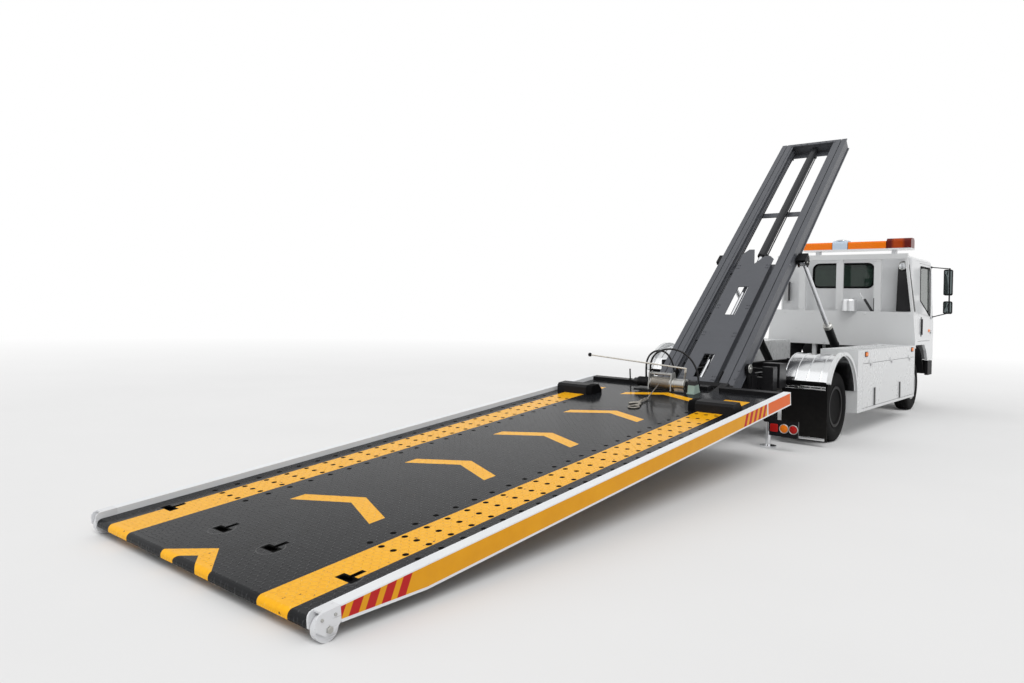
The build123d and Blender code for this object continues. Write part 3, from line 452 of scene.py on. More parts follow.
def new_material(name):
    m = bpy.data.materials.new(name)
    m.use_nodes = True
    return m, m.node_tree, m.node_tree.nodes["Principled BSDF"]


DUST = (0.33, 0.30, 0.26)


def shades(colour, share):
    """The colour made darker and lighter by a share of itself."""
    return [tuple(min(1.0, c * s) for c in colour) for s in (1 - share, 1 + share)]


def finish(name, colour, rough, metal=0.0, coat=0.0, dust=0.3, dust_height=0.9, ripple=0.05, grain=0.02,
           grain_scale=300.0, vary=0.12, scuff=0.0, scuff_colour=(0.3, 0.3, 0.31), paint=None, plate=None,
           areas=(), gloss=0.3):
    """A painted, bare or moulded surface. paint(tree) may give the colour and plate the raised pattern;
    each of areas is (mask(tree), colour, roughness, metal) of a part that is finished otherwise."""
    m, tree, shader = new_material(name)
    group = tree.nodes.new("ShaderNodeGroup")
    group.node_tree = WEATHERING
    given = {"Dust": dust, "Dust height": dust_height, "Ripple": ripple, "Grain": grain,
             "Grain scale": grain_scale}
    for label, v in given.items():
        group.inputs[label].default_value = v
    tone, dirt, marks = (Wire(tree, group.outputs[k]) for k in ("Tone", "Dust", "Scuff"))
    base = paint(tree) if paint else tone.colour(*shades(colour, vary))
    if scuff:
        base = (marks * scuff).colour(base, scuff_colour)
    rough_now = (tone - 0.5) * 0.18 + rough
    metal_now = None
    for area_mask, shade, area_rough, area_metal in areas:
        mask = area_mask(tree)
        base = mask.colour(base, tone.colour(*shades(shade, 0.15)))
        rough_now = rough_now + mask * (area_rough - rough)
        metal_now = mask.blend(metal if metal_now is None else metal_now, area_metal)
    base = dirt.colour(base, DUST)
    tree.links.new(base, shader.inputs["Base Color"])
    rough_now = (rough_now + dirt * 0.35 + marks * (0.2 * scuff)).clamp()
    tree.links.new(rough_now.socket, shader.inputs["Roughness"])
    shader.inputs["Metallic"].default_value = metal
    if metal_now:
        tree.links.new(metal_now.socket, shader.inputs["Metallic"])
    shader.inputs["Coat Weight"].default_value = coat
    shader.inputs["Coat Roughness"].default_value = 0.08
    shader.inputs["Specular IOR Level"].default_value = gloss
    normal = group.outputs["Normal"]
    if plate:
        level, depth = plate(tree)
        bump = tree.nodes.new("ShaderNodeBump")
        bump.inputs["Distance"].default_value = depth
        tree.links.new(level.socket, bump.inputs["Height"])
        tree.links.new(normal, bump.inputs["Normal"])
        normal = bump.outputs["Normal"]
    tree.links.new(normal, shader.inputs["Normal"])
    return m


AMBER = (0.93, 0.48, 0.010)
RED = (0.46, 0.010, 0.012)
WHITE = (0.66, 0.67, 0.68)
BODY_WHITE = (0.64, 0.65, 0.655)
RUBBER = (0.004, 0.004, 0.0045)
KEYHOLE_X = 0.372
KEYHOLES = (0.912, 0.272, -0.232, -0.884)


def chequer_height(tree, place):
    group = tree.nodes.new("ShaderNodeGroup")
    group.node_tree = CHEQUER
    tree.links.new(place, group.inputs["Place"])
    return Wire(tree, group.outputs["Height"])


def bed_hole_shade(tree):
    """Painted shade: rows of near-black dots that stand for the open drain holes along the stripes, and four
    keyholes, each a wide slot and a narrow one, painted dark for the shade seen through them.
    """
    x, y, z = coordinates(tree, PIN, BED_SLOPE)[0]
    side = abs(y)
    row = (side - 0.62).repeat(0.095)
    column = (x + 4.73).repeat(0.166)
    hole = (row * row + column * column).op("SQRT").below(0.0175, 0.002)
    hole = hole * side.within(0.58, 1.04) * x.within(-4.81, -1.06)
    for centre in KEYHOLES:
        near = abs(y - centre)
        wide = near.below(0.062, 0.004) * x.within(DECK_TAIL + 0.345, DECK_TAIL + 0.403)
        slot = near.below(0.016, 0.002) * x.within(DECK_TAIL + 0.38, DECK_TAIL + 0.478)
        hole = hole.either(wide.either(slot))
    return hole


def bed_paint(tree):
    """Black plate, a broad amber stripe by each rail and six forward-pointing chevrons down the middle.
    The raised chequer bars are lighter in patches: partly wear on their tops, partly painted highlight for
    their glints.
    """
    (x, y, z), place = coordinates(tree, PIN, BED_SLOPE)
    # This noise gates both the worn paint and the painted highlight on the raised bars.
    wear_and_glint = noise(tree, 35.0, 4.0)
    stripe = abs(y).within(0.682, 0.928, 0.002) * x.below(-0.40, 0.002)
    across = abs(y + x * 0.010 + 0.043)
    last = x.below(-5.0)
    tip = (x + last * 0.022 + across * last.blend(0.455, 0.72)).repeat(0.978, -0.3975)
    reach = last.blend(0.395, 0.250)
    chevron = abs(tip).below(0.0575, 0.002) * (across - reach).below(0.0, 0.002)
    paint = (stripe.either(chevron) * wear_and_glint.above(0.27, 0.03)).clamp()
    ring = x * 0.0
    for centre in KEYHOLES:
        far = ((x - (DECK_TAIL + KEYHOLE_X)).op("POWER", 2) + (y - centre).op("POWER", 2)).op("SQRT")
        ring = ring.either(far.within(0.072, 0.079, 0.002))
    bars = chequer_height(tree, place)
    plate = noise(tree, 6.0, 5.0).colour((0.004, 0.0042, 0.0048), (0.014, 0.015, 0.017))
    plate = (ring * 0.5).colour(plate, (0.10, 0.10, 0.10))
    # Painted highlight, partly wear: lighter raised bars on the black plate and on the amber.
    plate = (bars * wear_and_glint.above(0.40, 0.2) * 0.6).colour(plate, (0.050, 0.052, 0.055))
    gold = wear_and_glint.colour((0.82, 0.37, 0.008), AMBER)
    gold = (bars * wear_and_glint.above(0.50, 0.2) * 0.4).colour(gold, (0.92, 0.62, 0.16))
    return paint.colour(plate, gold)


def bed_pattern(tree):
    """Raised bars over the bed ahead of its tail, and how far they stand up."""
    (x, y, z), place = coordinates(tree, PIN, BED_SLOPE)
    return chequer_height(tree, place) * x.above(-5.40, 0.01), 0.0028


def rail_paint(tree):
    """White above; the outer side is amber under a white lip, with slanted red bars at tail and front.
    The side's amber is darker than the deck's: painted shade for the shaded side.
    """
    x, y, z = coordinates(tree, PIN, BED_SLOPE)[0]
    outer = abs(y).above(1.1535, 0.0005)
    taper = ((x + 4.82) * -0.094).op("MAXIMUM", 0.0) - 0.018
    panel = outer * z.below(0.088, 0.0005) * (z - taper).above(0.0, 0.002) * x.above(-5.37, 0.001)
    slant = x - z * 0.55
    tail_bars = abs(slant.repeat(0.098, -5.377)).below(0.028, 0.002) * slant.within(-5.405, -4.957)
    front_bars = abs(slant.repeat(0.1025, -1.035)).below(0.025, 0.002) * slant.within(-1.06, -0.60)
    gap = x.within(-0.555, -0.525) + x.above(0.02)
    # Painted shade: the outer side's amber is a darker copy of the deck's amber.
    paint = noise(tree, 9.0, 4.0).colour((0.66, 0.28, 0.006), (0.78, 0.36, 0.008))
    paint = tail_bars.either(front_bars).colour(paint, RED)
    paint = x.within(-0.52, 0.015).colour(paint, (0.72, 0.13, 0.02))
    paint = gap.clamp().colour(paint, WHITE)
    white = noise(tree, 3.0, 5.0).colour((0.70, 0.72, 0.74), (0.80, 0.81, 0.82))
    return panel.colour(white, paint)


def lamp_paint(tree):
    """Beacon bar in three lenses over a pale base, black tail lamp boards, clear headlamps.
    The lenses' ribs are painted light and shade: lit bands with darker lines between them.
    """
    x, y, z = coordinates(tree, (AXLE_X, 0, 0))[0]
    # Painted light and shade: each rib a lit band, with a darker line between ribs.
    ribs = abs(y.repeat(0.012)).above(0.0045, 0.001)
    amber = ribs.colour((0.90, 0.20, 0.008), (0.62, 0.12, 0.006))
    silver = ribs.colour((0.55, 0.64, 0.74), (0.38, 0.46, 0.56))
    dark = ribs.colour((0.13, 0.012, 0.008), (0.07, 0.008, 0.006))
    lens = y.within(0.093, 0.345).colour(amber, silver)
    lens = y.below(-0.500).colour(lens, dark)
    lens = (y.within(-0.78, -0.62, 0.05) * 0.7).colour(lens, (0.50, 0.07, 0.006))
    bar = z.below(2.571).colour(lens, (0.72, 0.73, 0.74))
    rear = x.below(0.0).colour(bar, (0.014, 0.014, 0.016))
    return x.above(4.9).colour(rear, (0.55, 0.57, 0.60))


def area(test, colour, rough, metal=0.0, place=(AXLE_X, 0, 0), slope=0.0):
    """Part of a piece with its own finish, where a test of x, y and z from a place gives 1."""
    def mask(tree):
        return test(*coordinates(tree, place, slope)[0]).clamp()

    return mask, colour, rough, metal


def bed_area(test, colour, rough, metal=0.0):
    return area(test, colour, rough, metal, PIN, BED_SLOPE)


SPRAYED = {"ripple": 0.008, "grain": 0.0, "vary": 0.03}
CAB_PAINT = {"coat": 0.35, "dust": 0.05, **SPRAYED}
BODY_PAINT = {"dust": 0.03, **SPRAYED}
BARE_STEEL = {"dust": 0.1, "grain": 0.05, "vary": 0.14, "scuff": 0.3}

MATERIALS = {
    "white": finish("white_cab_paint", WHITE, 0.24, gloss=0.5, **CAB_PAINT),
    "door": finish("cab_door_paint", WHITE, 0.24, **CAB_PAINT, areas=(
        area(lambda x, y, z: x.within(4.29, 4.33) * abs(y).above(1.0015), RUBBER, 0.4),)),
    "panel": finish("white_body_paint", BODY_WHITE, 0.28, coat=0.25, **BODY_PAINT),
    "locker_door": finish("locker_door_paint", BODY_WHITE, 0.28, coat=0.25, **BODY_PAINT, areas=(
        area(lambda x, y, z: abs(y).above(1.1420) * z.below(0.60), (0.02, 0.02, 0.022), 0.35, 0.6),
        area(lambda x, y, z: abs(y).above(1.1415) * z.above(0.80), (0.45, 0.45, 0.46), 0.3, 1.0))),
    "board": finish("headboard_paint", BODY_WHITE, 0.30, coat=0.2, **BODY_PAINT, areas=(
        area(lambda x, y, z: x.above(3.4405) * y.within(-1.09, -0.80) * z.above(1.549),
             (0.005, 0.005, 0.006), 0.5),
        area(lambda x, y, z: x.above(3.4995) * y.within(0.83, 0.91) * z.above(1.68),
             (0.016, 0.016, 0.018), 0.45),
        area(lambda x, y, z: y.within(-0.28, -0.05) * z.within(1.5405, 1.745), (0.70, 0.71, 0.72), 0.32, 0.7),
        area(lambda x, y, z: y.within(-0.53, -0.355) * z.within(1.5405, 1.745) * x.below(3.418),
             (0.02, 0.02, 0.022), 0.4))),
    "grey": finish("blue_grey_frame_paint", (0.086, 0.090, 0.101), 0.30, dust=0.04, ripple=0.03, vary=0.20,
                   scuff=0.3, gloss=0.22, scuff_colour=(0.16, 0.16, 0.17)),
    "black": finish("black_chassis_paint", (0.008, 0.008, 0.009), 0.42, dust=0.04, vary=0.2, scuff=0.10,
                    gloss=0.10),
    # The deck's holes are painted near-black and fully rough: painted shade standing in for the openings.
    "deck": finish("bed_plate_paint", (0.01, 0.01, 0.011), 0.14, dust=0.0, paint=bed_paint, plate=bed_pattern,
                   ripple=0.02, grain=0.0, gloss=0.07, areas=((bed_hole_shade, (0.002, 0.002, 0.002), 1.0, 0.0),)),
    "rail": finish("bed_rail_paint", WHITE, 0.36, dust=0.04, paint=rail_paint, ripple=0.02, gloss=0.10),
    "shoe": finish("tail_bracket_paint", (0.68, 0.69, 0.71), 0.38, coat=0.1, dust=0.08, vary=0.10, scuff=0.4,
                   scuff_colour=(0.25, 0.25, 0.25)),
    "barrel": finish("dark_grey_cylinder_paint", (0.028, 0.029, 0.032), 0.34, dust=0.02, vary=0.2, gloss=0.2),
    "chrome": finish("hard_chrome_rod", (0.80, 0.81, 0.83), 0.09, metal=1.0, dust=0.05, ripple=0.0,
                     grain=0.004, vary=0.03),
    "cast": finish("cast_iron_rough", (0.018, 0.017, 0.016), 0.62, metal=0.1, dust=0.20, gloss=0.2,
                   grain=0.25, grain_scale=140.0, vary=0.35),
    "winch_frame": finish("winch_steel", (0.36, 0.36, 0.35), 0.34, metal=0.85, **BARE_STEEL, areas=(
        bed_area(lambda x, y, z: z.below(0.0655), (0.014, 0.014, 0.016), 0.4),
        bed_area(lambda x, y, z: y.within(0.2155, 1.2) * z.below(0.24), (0.018, 0.018, 0.020), 0.38),
        bed_area(lambda x, y, z: y.within(-0.32, -0.196), (0.012, 0.012, 0.013), 0.45),
        bed_area(lambda x, y, z: y.within(-0.32, -0.232) * z.below(0.140), (0.30, 0.40, 0.35), 0.45),
        bed_area(lambda x, y, z: z.above(0.26), (0.62, 0.60, 0.55), 0.35, 0.2))),
    "winch": finish("zinc_plated_steel", (0.46, 0.46, 0.44), 0.34, metal=0.9, **BARE_STEEL),
    "mudguard": finish("polished_mudguard_sheet", (0.66, 0.67, 0.68), 0.16, metal=1.0, dust=0.03,
                       dust_height=1.1, ripple=0.06, grain=0.01, vary=0.05, gloss=0.04, areas=(
        area(lambda x, y, z: x.below(-0.515) * z.below(0.716), RUBBER, 0.55),
        area(lambda x, y, z: abs(y).below(0.5997), (0.014, 0.014, 0.016), 0.45))),
    "polished": finish("polished_steel_strip", (0.72, 0.73, 0.74), 0.14, metal=1.0, dust=0.1, ripple=0.04,
                       grain=0.01, vary=0.05),
    "wheel": finish("wheel_silver_paint", (0.40, 0.41, 0.42), 0.38, metal=0.55, dust=0.35, vary=0.12),
    "rear_wheel": finish("rear_wheel_paint", (0.010, 0.010, 0.011), 0.48, dust=0.05, vary=0.2, gloss=0.12),
    "tyre": finish("tyre_rubber", (0.006, 0.006, 0.0065), 0.62, dust=0.015, dust_height=1.0, grain=0.12,
                   grain_scale=220.0, vary=0.25, gloss=0.03),
    "rubber": finish("black_rubber", RUBBER, 0.6, dust=0.01, grain=0.06, vary=0.2, gloss=0.03),
    "plastic": finish("grained_black_plastic", (0.008, 0.008, 0.009), 0.5, gloss=0.12, dust=0.03, grain=0.10,
                      grain_scale=500.0, vary=0.15),
    "interior": finish("cab_trim", (0.045, 0.047, 0.05), 0.75, dust=0.0, grain=0.18, grain_scale=420.0,
                       vary=0.2),
    "lens": finish("lamp_lens", (0.9, 0.3, 0.02), 0.16, coat=0.08, gloss=0.12, dust=0.0, paint=lamp_paint,
                   ripple=0.0),
    "amber": finish("amber_lens", (0.85, 0.20, 0.006), 0.15, coat=0.1, gloss=0.15, dust=0.02, ripple=0.02),
    "red": finish("red_lens", (0.42, 0.008, 0.006), 0.15, coat=0.1, gloss=0.15, dust=0.02, ripple=0.02),
    "mirror": finish("mirror_glass", (0.16, 0.19, 0.19), 0.05, metal=1.0, dust=0.02, ripple=0.0, grain=0.0,
                     vary=0.03),
    "clear": finish("clear_lamp_lens", (0.62, 0.64, 0.66), 0.10, metal=0.5, coat=0.6, dust=0.05, ripple=0.02),
    "hose": finish("hose_rubber", (0.013, 0.013, 0.014), 0.45, dust=0.0, grain=0.08, grain_scale=600.0,
                   vary=0.2),
    "rope": finish("wire_rope_steel", (0.30, 0.28, 0.25), 0.45, metal=0.85, dust=0.0, grain=0.25,
                   grain_scale=700.0, vary=0.2),
}


def glass(name, tint, see_through):
    """Tinted pane with a faint film of dust in its roughness."""
    m, tree, shader = new_material(name)
    film = noise(tree, 4.0, 5.0)
    dusty = tuple(c * 1.25 for c in tint)
    tree.links.new(film.colour(tint, dusty), shader.inputs["Base Color"])
    tree.links.new((film * 0.06 + 0.01).socket, shader.inputs["Roughness"])
    shader.inputs["Transmission Weight"].default_value = see_through
    shader.inputs["IOR"].default_value = 1.45
    return m


MATERIALS["glass"] = glass("cab_window_glass", (0.07, 0.11, 0.09), 0.80)

# The slot that piece() picks for an added piece by its finish but does not use, and the nodes that take each
# finish
USUAL_SLOT = {
    "tyre": "tyre", "winch": "steel", "wheel": "steel", "polished": "steel", "rope": "steel",
    "rear_wheel": "cast", "rubber": "rubber", "plastic": "plastic", "amber": "lens", "red": "lens",
    "clear": "lens", "mirror": "glass", "white": "white_paint", "panel": "white_paint",
    "black": "black_paint", "grey": "grey_paint",
}
WORN_BY = {
    "black": "chassis_frame hinge_stand tilt_fittings carriage deck_frame lift_barrel",
    "cast": "front_axle rear_axle springs engine_block knuckle",
    "white": "cab_shell", "door": "cab_door", "glass": "cab_glass door_glass", "interior": "cab_inside",
    "plastic": "front_bumper mirrors", "lens": "lamps", "board": "headboard", "panel": "lockers",
    "locker_door": "locker_door", "mudguard": "mudguards", "grey": "tilt_beams slide_plate",
    "barrel": "slide_barrel", "chrome": "slide_rod lift_rod leg", "deck": "deck_sheet", "rail": "deck_rails",
    "shoe": "tail_shoes tail_roller", "winch_frame": "winch_frame", "winch": "winch_drum",
    "hose": "hose_short hose_long", "tyre": "tyre_front tyres_rear", "wheel": "wheel_front",
    "rear_wheel": "wheels_rear",
}
NODE_FINISH = {node: look for look, worn in WORN_BY.items() for node in worn.split()}
for name, obj in nodes.items():
    key = name.removesuffix("_left").removesuffix("_right")
    for s in obj.material_slots:
        s.material = MATERIALS[NODE_FINISH[key]]


# Camera, as solved from the photograph, a picture 1024 wide and 683 high
EYE = (-9.218 + AXLE_X, -3.836, 1.461)
YAW, PITCH, ROLL = 0.6985, 0.0025, 0.0256
PICTURE_WIDTH, MIDDLE_ROW = 1024, 341.5
FOCAL_PIXELS, LENS_ROW = 764.3, 305.4
ahead = Vector((np.cos(PITCH) * np.cos(YAW), np.cos(PITCH) * np.sin(YAW), np.sin(PITCH)))
level = ahead.cross(Vector((0, 0, 1))).normalized()
upward = level.cross(ahead)
right = level * np.cos(ROLL) + upward * np.sin(ROLL)
up = upward * np.cos(ROLL) - level * np.sin(ROLL)
camera_data = bpy.data.cameras.new("camera")
camera_data.sensor_width = 36.0
camera_data.lens = FOCAL_PIXELS / PICTURE_WIDTH * camera_data.sensor_width
camera_data.shift_y = -(MIDDLE_ROW - LENS_ROW) / PICTURE_WIDTH
camera = placed("camera", camera_data)
camera.matrix_world = Matrix.Translation(EYE) @ Matrix((right, up, -ahead)).transposed().to_4x4()
bpy.context.scene.camera = camera


def studio():
    """Pale floor that fades to the white surround, a soft key and a weak fill."""
    scene = bpy.context.scene
    scene.view_settings.view_transform = "Standard"
    world = bpy.data.worlds.new("surround")
    scene.world = world
    world.use_nodes = True
    tree = world.node_tree
    path = tree.nodes.new("ShaderNodeLightPath")
    seen = Wire(tree, path.outputs["Is Camera Ray"]).either(Wire(tree, path.outputs["Is Glossy Ray"]))
    seen = seen.either(Wire(tree, path.outputs["Is Transmission Ray"]))
    strength = seen * 0.38 + 0.62
    back = tree.nodes["Background"]
    back.inputs["Color"].default_value = (1, 1, 1, 1)
    tree.links.new(strength.socket, back.inputs["Strength"])
    suns = (("key", (0.45, 0.55, -1.0), 1.45, 35), ("fill", (0.6, -0.7, -0.6), 0.45, 70))
    for name, direction, power, spread in suns:
        data = bpy.data.lights.new(name, "SUN")
        data.energy = power
        data.angle = np.radians(spread)
        placed(name, data).rotation_euler = Vector(direction).to_track_quat("-Z", "Y").to_euler()
    m, tree, shader = new_material("floor_paint")
    x, y, z = coordinates(tree)[0]
    paint = noise(tree, 0.6, 3.0).colour((0.74, 0.74, 0.74), (0.78, 0.78, 0.78))
    tree.links.new(paint, shader.inputs["Base Color"])
    shader.inputs["Roughness"].default_value = 0.9
    glow = tree.nodes.new("ShaderNodeEmission")
    mix = tree.nodes.new("ShaderNodeMixShader")
    far = (x * x + y * y).op("SQRT").above(9.0, 16.0)
    tree.links.new(far.socket, mix.inputs[0])
    tree.links.new(shader.outputs[0], mix.inputs[1])
    tree.links.new(glow.outputs[0], mix.inputs[2])
    tree.links.new(mix.outputs[0], tree.nodes["Material Output"].inputs["Surface"])
    rings, spokes = 24, 96
    r = 60 * (np.arange(1, rings + 1) / rings)[:, None] ** 2
    t = np.arange(spokes) * TAU / spokes
    v = np.stack([r * np.cos(t), r * np.sin(t), np.zeros((rings, spokes))], -1).reshape(-1, 3)
    faces = grid_faces(rings, spokes, wrap_columns=True) + [np.arange(spokes).tolist()]
    mesh = bpy.data.meshes.new("floor")
    mesh.from_pydata(v.tolist(), [], faces)
    mesh.materials.append(m)
    floor = placed("floor", mesh)


studio()


# Tyres with circumferential grooves and cross slots
def tyre_shape(blocks):
    """Lathed section. Its tread sinks by four grooves, full to 2.5 mm from their lines and gone at 6.7 mm,
    and by slots at the shoulders, where blocks x turn has a fraction within 0.15 of a half."""
    half = 0.088
    crown = []
    for y in np.linspace(-half, half, 45):
        shoulder = 0.054 * max(0.0, abs(y) / half - 0.86)
        crown.append((y, TYRE_R - 0.0022 * (y / 0.07) ** 2 - shoulder))
    wall = [(-0.080, 0.219), (-0.086, 0.240), (-0.098, 0.262), (-0.1035, 0.280), (-0.1062, 0.300),
            (-0.1062, 0.320), (-0.1042, 0.345), (-0.1005, 0.365), (-0.0960, 0.380)]
    profile = wall + crown + [(-y, r) for y, r in wall[::-1]]

    def relief(t, y, r):
        tread = np.clip((r - 0.388) / 0.006, 0, 1)
        groove = sum(np.clip(1.6 - np.abs(y - g) / 0.0042, 0, 1) for g in (-0.050, -0.017, 0.017, 0.050))
        shift = t * blocks / TAU + np.sign(y) * 0.25 + 0.12 * np.sin(y / 0.03)
        shoulders = np.clip((np.abs(y) - 0.052) / 0.004, 0, 1)
        slot = np.clip(1.5 - np.abs((shift % 1) - 0.5) / 0.10, 0, 1) * shoulders
        fine = np.clip(1.3 - np.abs((shift * 2 % 1) - 0.5) / 0.06, 0, 1) * (np.abs(y) < 0.046)
        rib = 0.0012 * np.exp(-((r - 0.345) / 0.004) ** 2) + 0.0010 * np.exp(-((r - 0.262) / 0.003) ** 2)
        depth = np.maximum(groove * 0.010, np.maximum(slot * 0.009, fine * 0.004))
        return -tread * depth + rib * (1 - tread)

    return lathe(profile, 300, relief)


one_tyre = tyre_shape(50)
for side in SIDES:
    low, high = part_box("tyre_front_" + side)
    centre = ((low[0] + high[0]) / 2, (low[1] + high[1]) / 2, TYRE_R)
    tyre = piece("tread_tyre_front_" + side, along_y(one_tyre, centre), "tyre", "front_wheel_" + side)
    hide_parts("tyre_front_" + side)
    low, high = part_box("tyres_rear_" + side)
    pair = [along_y(one_tyre, (AXLE_X, y, TYRE_R)) for y in (low[1] + HALF_TYRE, high[1] - HALF_TYRE)]
    tyre = piece("tread_tyres_rear_" + side, pair, "tyre", "rear_wheels_" + side)
    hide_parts("tyres_rear_" + side)


# Wheel nuts: ten domed nuts to a wheel, each on its washer
def round_axle(ring, offset, count, start=0.0, centre=(0, 0, 0)):
    """Places centre + (ring sin t, offset, ring cos t), a step of a turn apart, the first start steps on."""
    t = (np.arange(count) + start) * TAU / count
    return [np.asarray(centre, float) + [ring * np.sin(a), offset, ring * np.cos(a)] for a in t]


def wheel_nuts(ring, face):
    """Each nut is a turning in twelve steps: washer, barrel and dome."""
    nut = lathe([(0, 0.0), (0, 0.021), (0.003, 0.021), (0.003, 0.0165), (0.021, 0.0165), (0.026, 0.012),
                 (0.029, 0.006), (0.030, 0.0005)], 12)
    return join(*[along_y(nut, p) for p in round_axle(ring, face, 10)])


def wheel_part(shape, centre, k):
    """Carries a shape drawn for a left wheel to its centre, mirrored where k is -1."""
    v, f = shape
    return v * [1, k, 1] + np.asarray(centre, float), f


def wheel_centres(side, k):
    """Centre of a front wheel, and of the outer wheel of a rear pair."""
    front_x = joints["front_wheel_%s_spin" % side]["pos_m"][0]
    return (front_x, k * FRONT_WHEEL_Y, TYRE_R), (AXLE_X, k * REAR_WHEEL_Y, TYRE_R)


for side, k in SIDES.items():
    front, rear = wheel_centres(side, k)
    nuts = wheel_part(wheel_nuts(0.140, 0.0325), front, k)
    piece("wheel_nuts_front_" + side, nuts, "winch", "front_wheel_" + side)
    nuts = wheel_part(wheel_nuts(0.131, -0.0685), rear, k)
    piece("wheel_nuts_rear_" + side, nuts, "winch", "rear_wheels_" + side)


# Rope wound on the drum
def wound_rope():
    """Radius = drum + a sqrt(1 - s^2), s running from -1 to 1 over each turn of a helix one rope thick."""
    pitch, a = 0.0092, 0.0085
    steps = 72
    y = np.linspace(0.0105, 0.2235, 24 * 8 + 1)[None, :]
    t = np.arange(steps)[:, None] * TAU / steps
    s = 2 * ((y / pitch + t / TAU) % 1) - 1
    r = 0.0545 + a * np.sqrt(np.clip(1 - s ** 2, 0, 1))
    v = np.stack([r * np.sin(t), np.broadcast_to(y, r.shape), r * np.cos(t)], -1) + WINCH
    faces = grid_faces(steps, y.size, wrap_rows=True)
    ring = np.arange(steps) * y.size
    return on_bed(v.reshape(-1, 3)), faces + [ring.tolist(), (ring + y.size - 1)[::-1].tolist()]


piece("rope_on_drum", wound_rope(), "rope", "winch_drum")


# Small fastenings and trim
def hex_bolts(places, forward, size):
    """Each head is a turning in six steps: full radius to 0.55 of its size, then a chamfer to 0.7."""
    head = lathe([(0.0, size), (0.55 * size, size), (0.7 * size, 0.8 * size)], 6)
    return join(*[turned(head, forward, p) for p in places])


def side_bolts(places, size):
    """Bolt heads that face away from the middle of the truck."""
    return join(*[hex_bolts([p], (0, np.sign(p[1]), 0), size) for p in places])


def rounded_corners(points, r, steps=5):
    """Each corner P becomes the curve (1-t)^2 A + 2t(1-t) P + t^2 B, with A and B at distance r from P."""
    p = np.asarray(points, float)
    before, after = np.roll(p, 1, 0) - p, np.roll(p, -1, 0) - p
    a = p + before / np.linalg.norm(before, axis=1)[:, None] * r
    b = p + after / np.linalg.norm(after, axis=1)[:, None] * r
    t = np.linspace(0, 1, steps)[None, :, None]
    return ((1 - t) ** 2 * a[:, None] + 2 * t * (1 - t) * p[:, None] + t ** 2 * b[:, None]).reshape(-1, 2)


def guard_arc(r, low, high, y, count=48):
    """Arc over the rear wheels at one y: points -0.065 + r cos a, 0.490 + r sin a from the rear axle."""
    a = np.radians(np.linspace(low, high, count))
    return on_truck(np.stack([-0.065 + r * np.cos(a), np.full(count, y), 0.490 + r * np.sin(a)], -1))


def lens_dome(radius, depth, ribs):
    """Lamp glass: a flange, then a dome of offset depth (1 - (r/R)^2), its radius waved by the ribs."""
    u = np.linspace(1, 0.04, 9)
    profile = [(0.0, radius), (0.004, radius)] + [(0.004 + depth * (1 - k ** 2), radius * k) for k in u[1:]]
    return lathe(profile, 36, lambda t, y, r: 0.012 * r * np.cos(ribs * t))


def bezel(radius, width, depth):
    """Rounded ring round a lamp."""
    a = np.linspace(0, np.pi, 7)
    return lathe([(depth * np.sin(k), radius - width / 2 * np.cos(k)) for k in a], 36)


def open_lathe(profile, steps, relief=None):
    """A turning without its two flat ends."""
    v, f = lathe(profile, steps, relief)
    return v, f[:-2]


# Wheels: caps, hand holes drawn as dark cups of painted shade, and the rear axle's bolts
def hand_holes(ring, face, radius):
    """Ten dark cups between the spokes, painted shade for the open hand holes: a rim, then a wall that falls
    back by 5 mm to a flat floor.
    """
    cup = lathe([(-0.010, radius), (0.003, radius), (0.004, radius * 0.94), (0.001, radius * 0.86),
                 (-0.001, radius * 0.5), (-0.001, radius * 0.1)], 14)
    return join(*[along_y(cup, p) for p in round_axle(ring, face, 10, start=0.5)])


front_cap = lathe([(0.062, 0.062), (0.082, 0.060), (0.094, 0.050), (0.101, 0.032), (0.104, 0.010)], 32,
                  lambda t, y, r: -0.002 * np.clip(np.cos(6 * t), 0, 1) * (y < 0.09))
rear_cap = lathe([(0.030, 0.086), (0.041, 0.084), (0.044, 0.078), (0.044, 0.052), (0.062, 0.046),
                  (0.070, 0.034), (0.071, 0.010)], 32)
for side, k in SIDES.items():
    front, rear = wheel_centres(side, k)
    front_body, rear_body = "front_wheel_" + side, "rear_wheels_" + side
    piece("hub_cap_front_" + side, wheel_part(front_cap, front, k), "wheel", front_body)
    holes = wheel_part(hand_holes(0.172, 0.040, 0.019), front, k)
    piece("hand_holes_front_" + side, holes, "rubber", front_body)
    piece("axle_flange_rear_" + side, wheel_part(rear_cap, rear, k), "rear_wheel", rear_body)
    holes = wheel_part(hand_holes(0.176, -0.066, 0.018), rear, k)
    piece("hand_holes_rear_" + side, holes, "rubber", rear_body)
    spots = round_axle(0.066, k * 0.044, 8, centre=rear)
    piece("axle_bolts_rear_" + side, hex_bolts(spots, (0, k, 0), 0.009), "winch", rear_body)


# Cab: seals, wipers, lamps, mirror glass and handles' surrounds
SCREEN = np.array([5.080, 0, 1.905])
SCREEN_UP = np.array([-0.1625, 0, 0.9867])
SCREEN_OUT = np.array([0.9867, 0, 0.1625])
PANE = [(4.200, 1.735), (4.175, 2.270), (4.860, 2.270), (4.925, 1.510), (4.880, 1.490), (4.600, 1.600)]
FACE_X = 5.180
LEFT_UP = ((0, 1, 0), (0, 0, 1))
RIGHT_UP = ((0, -1, 0), (0, 0, 1))
UP_FORWARD = ((0, 0, 1), (1, 0, 0))


def screen_point(up, y, out):
    return on_truck(SCREEN + up * SCREEN_UP + [0, y, 0] + out * SCREEN_OUT)


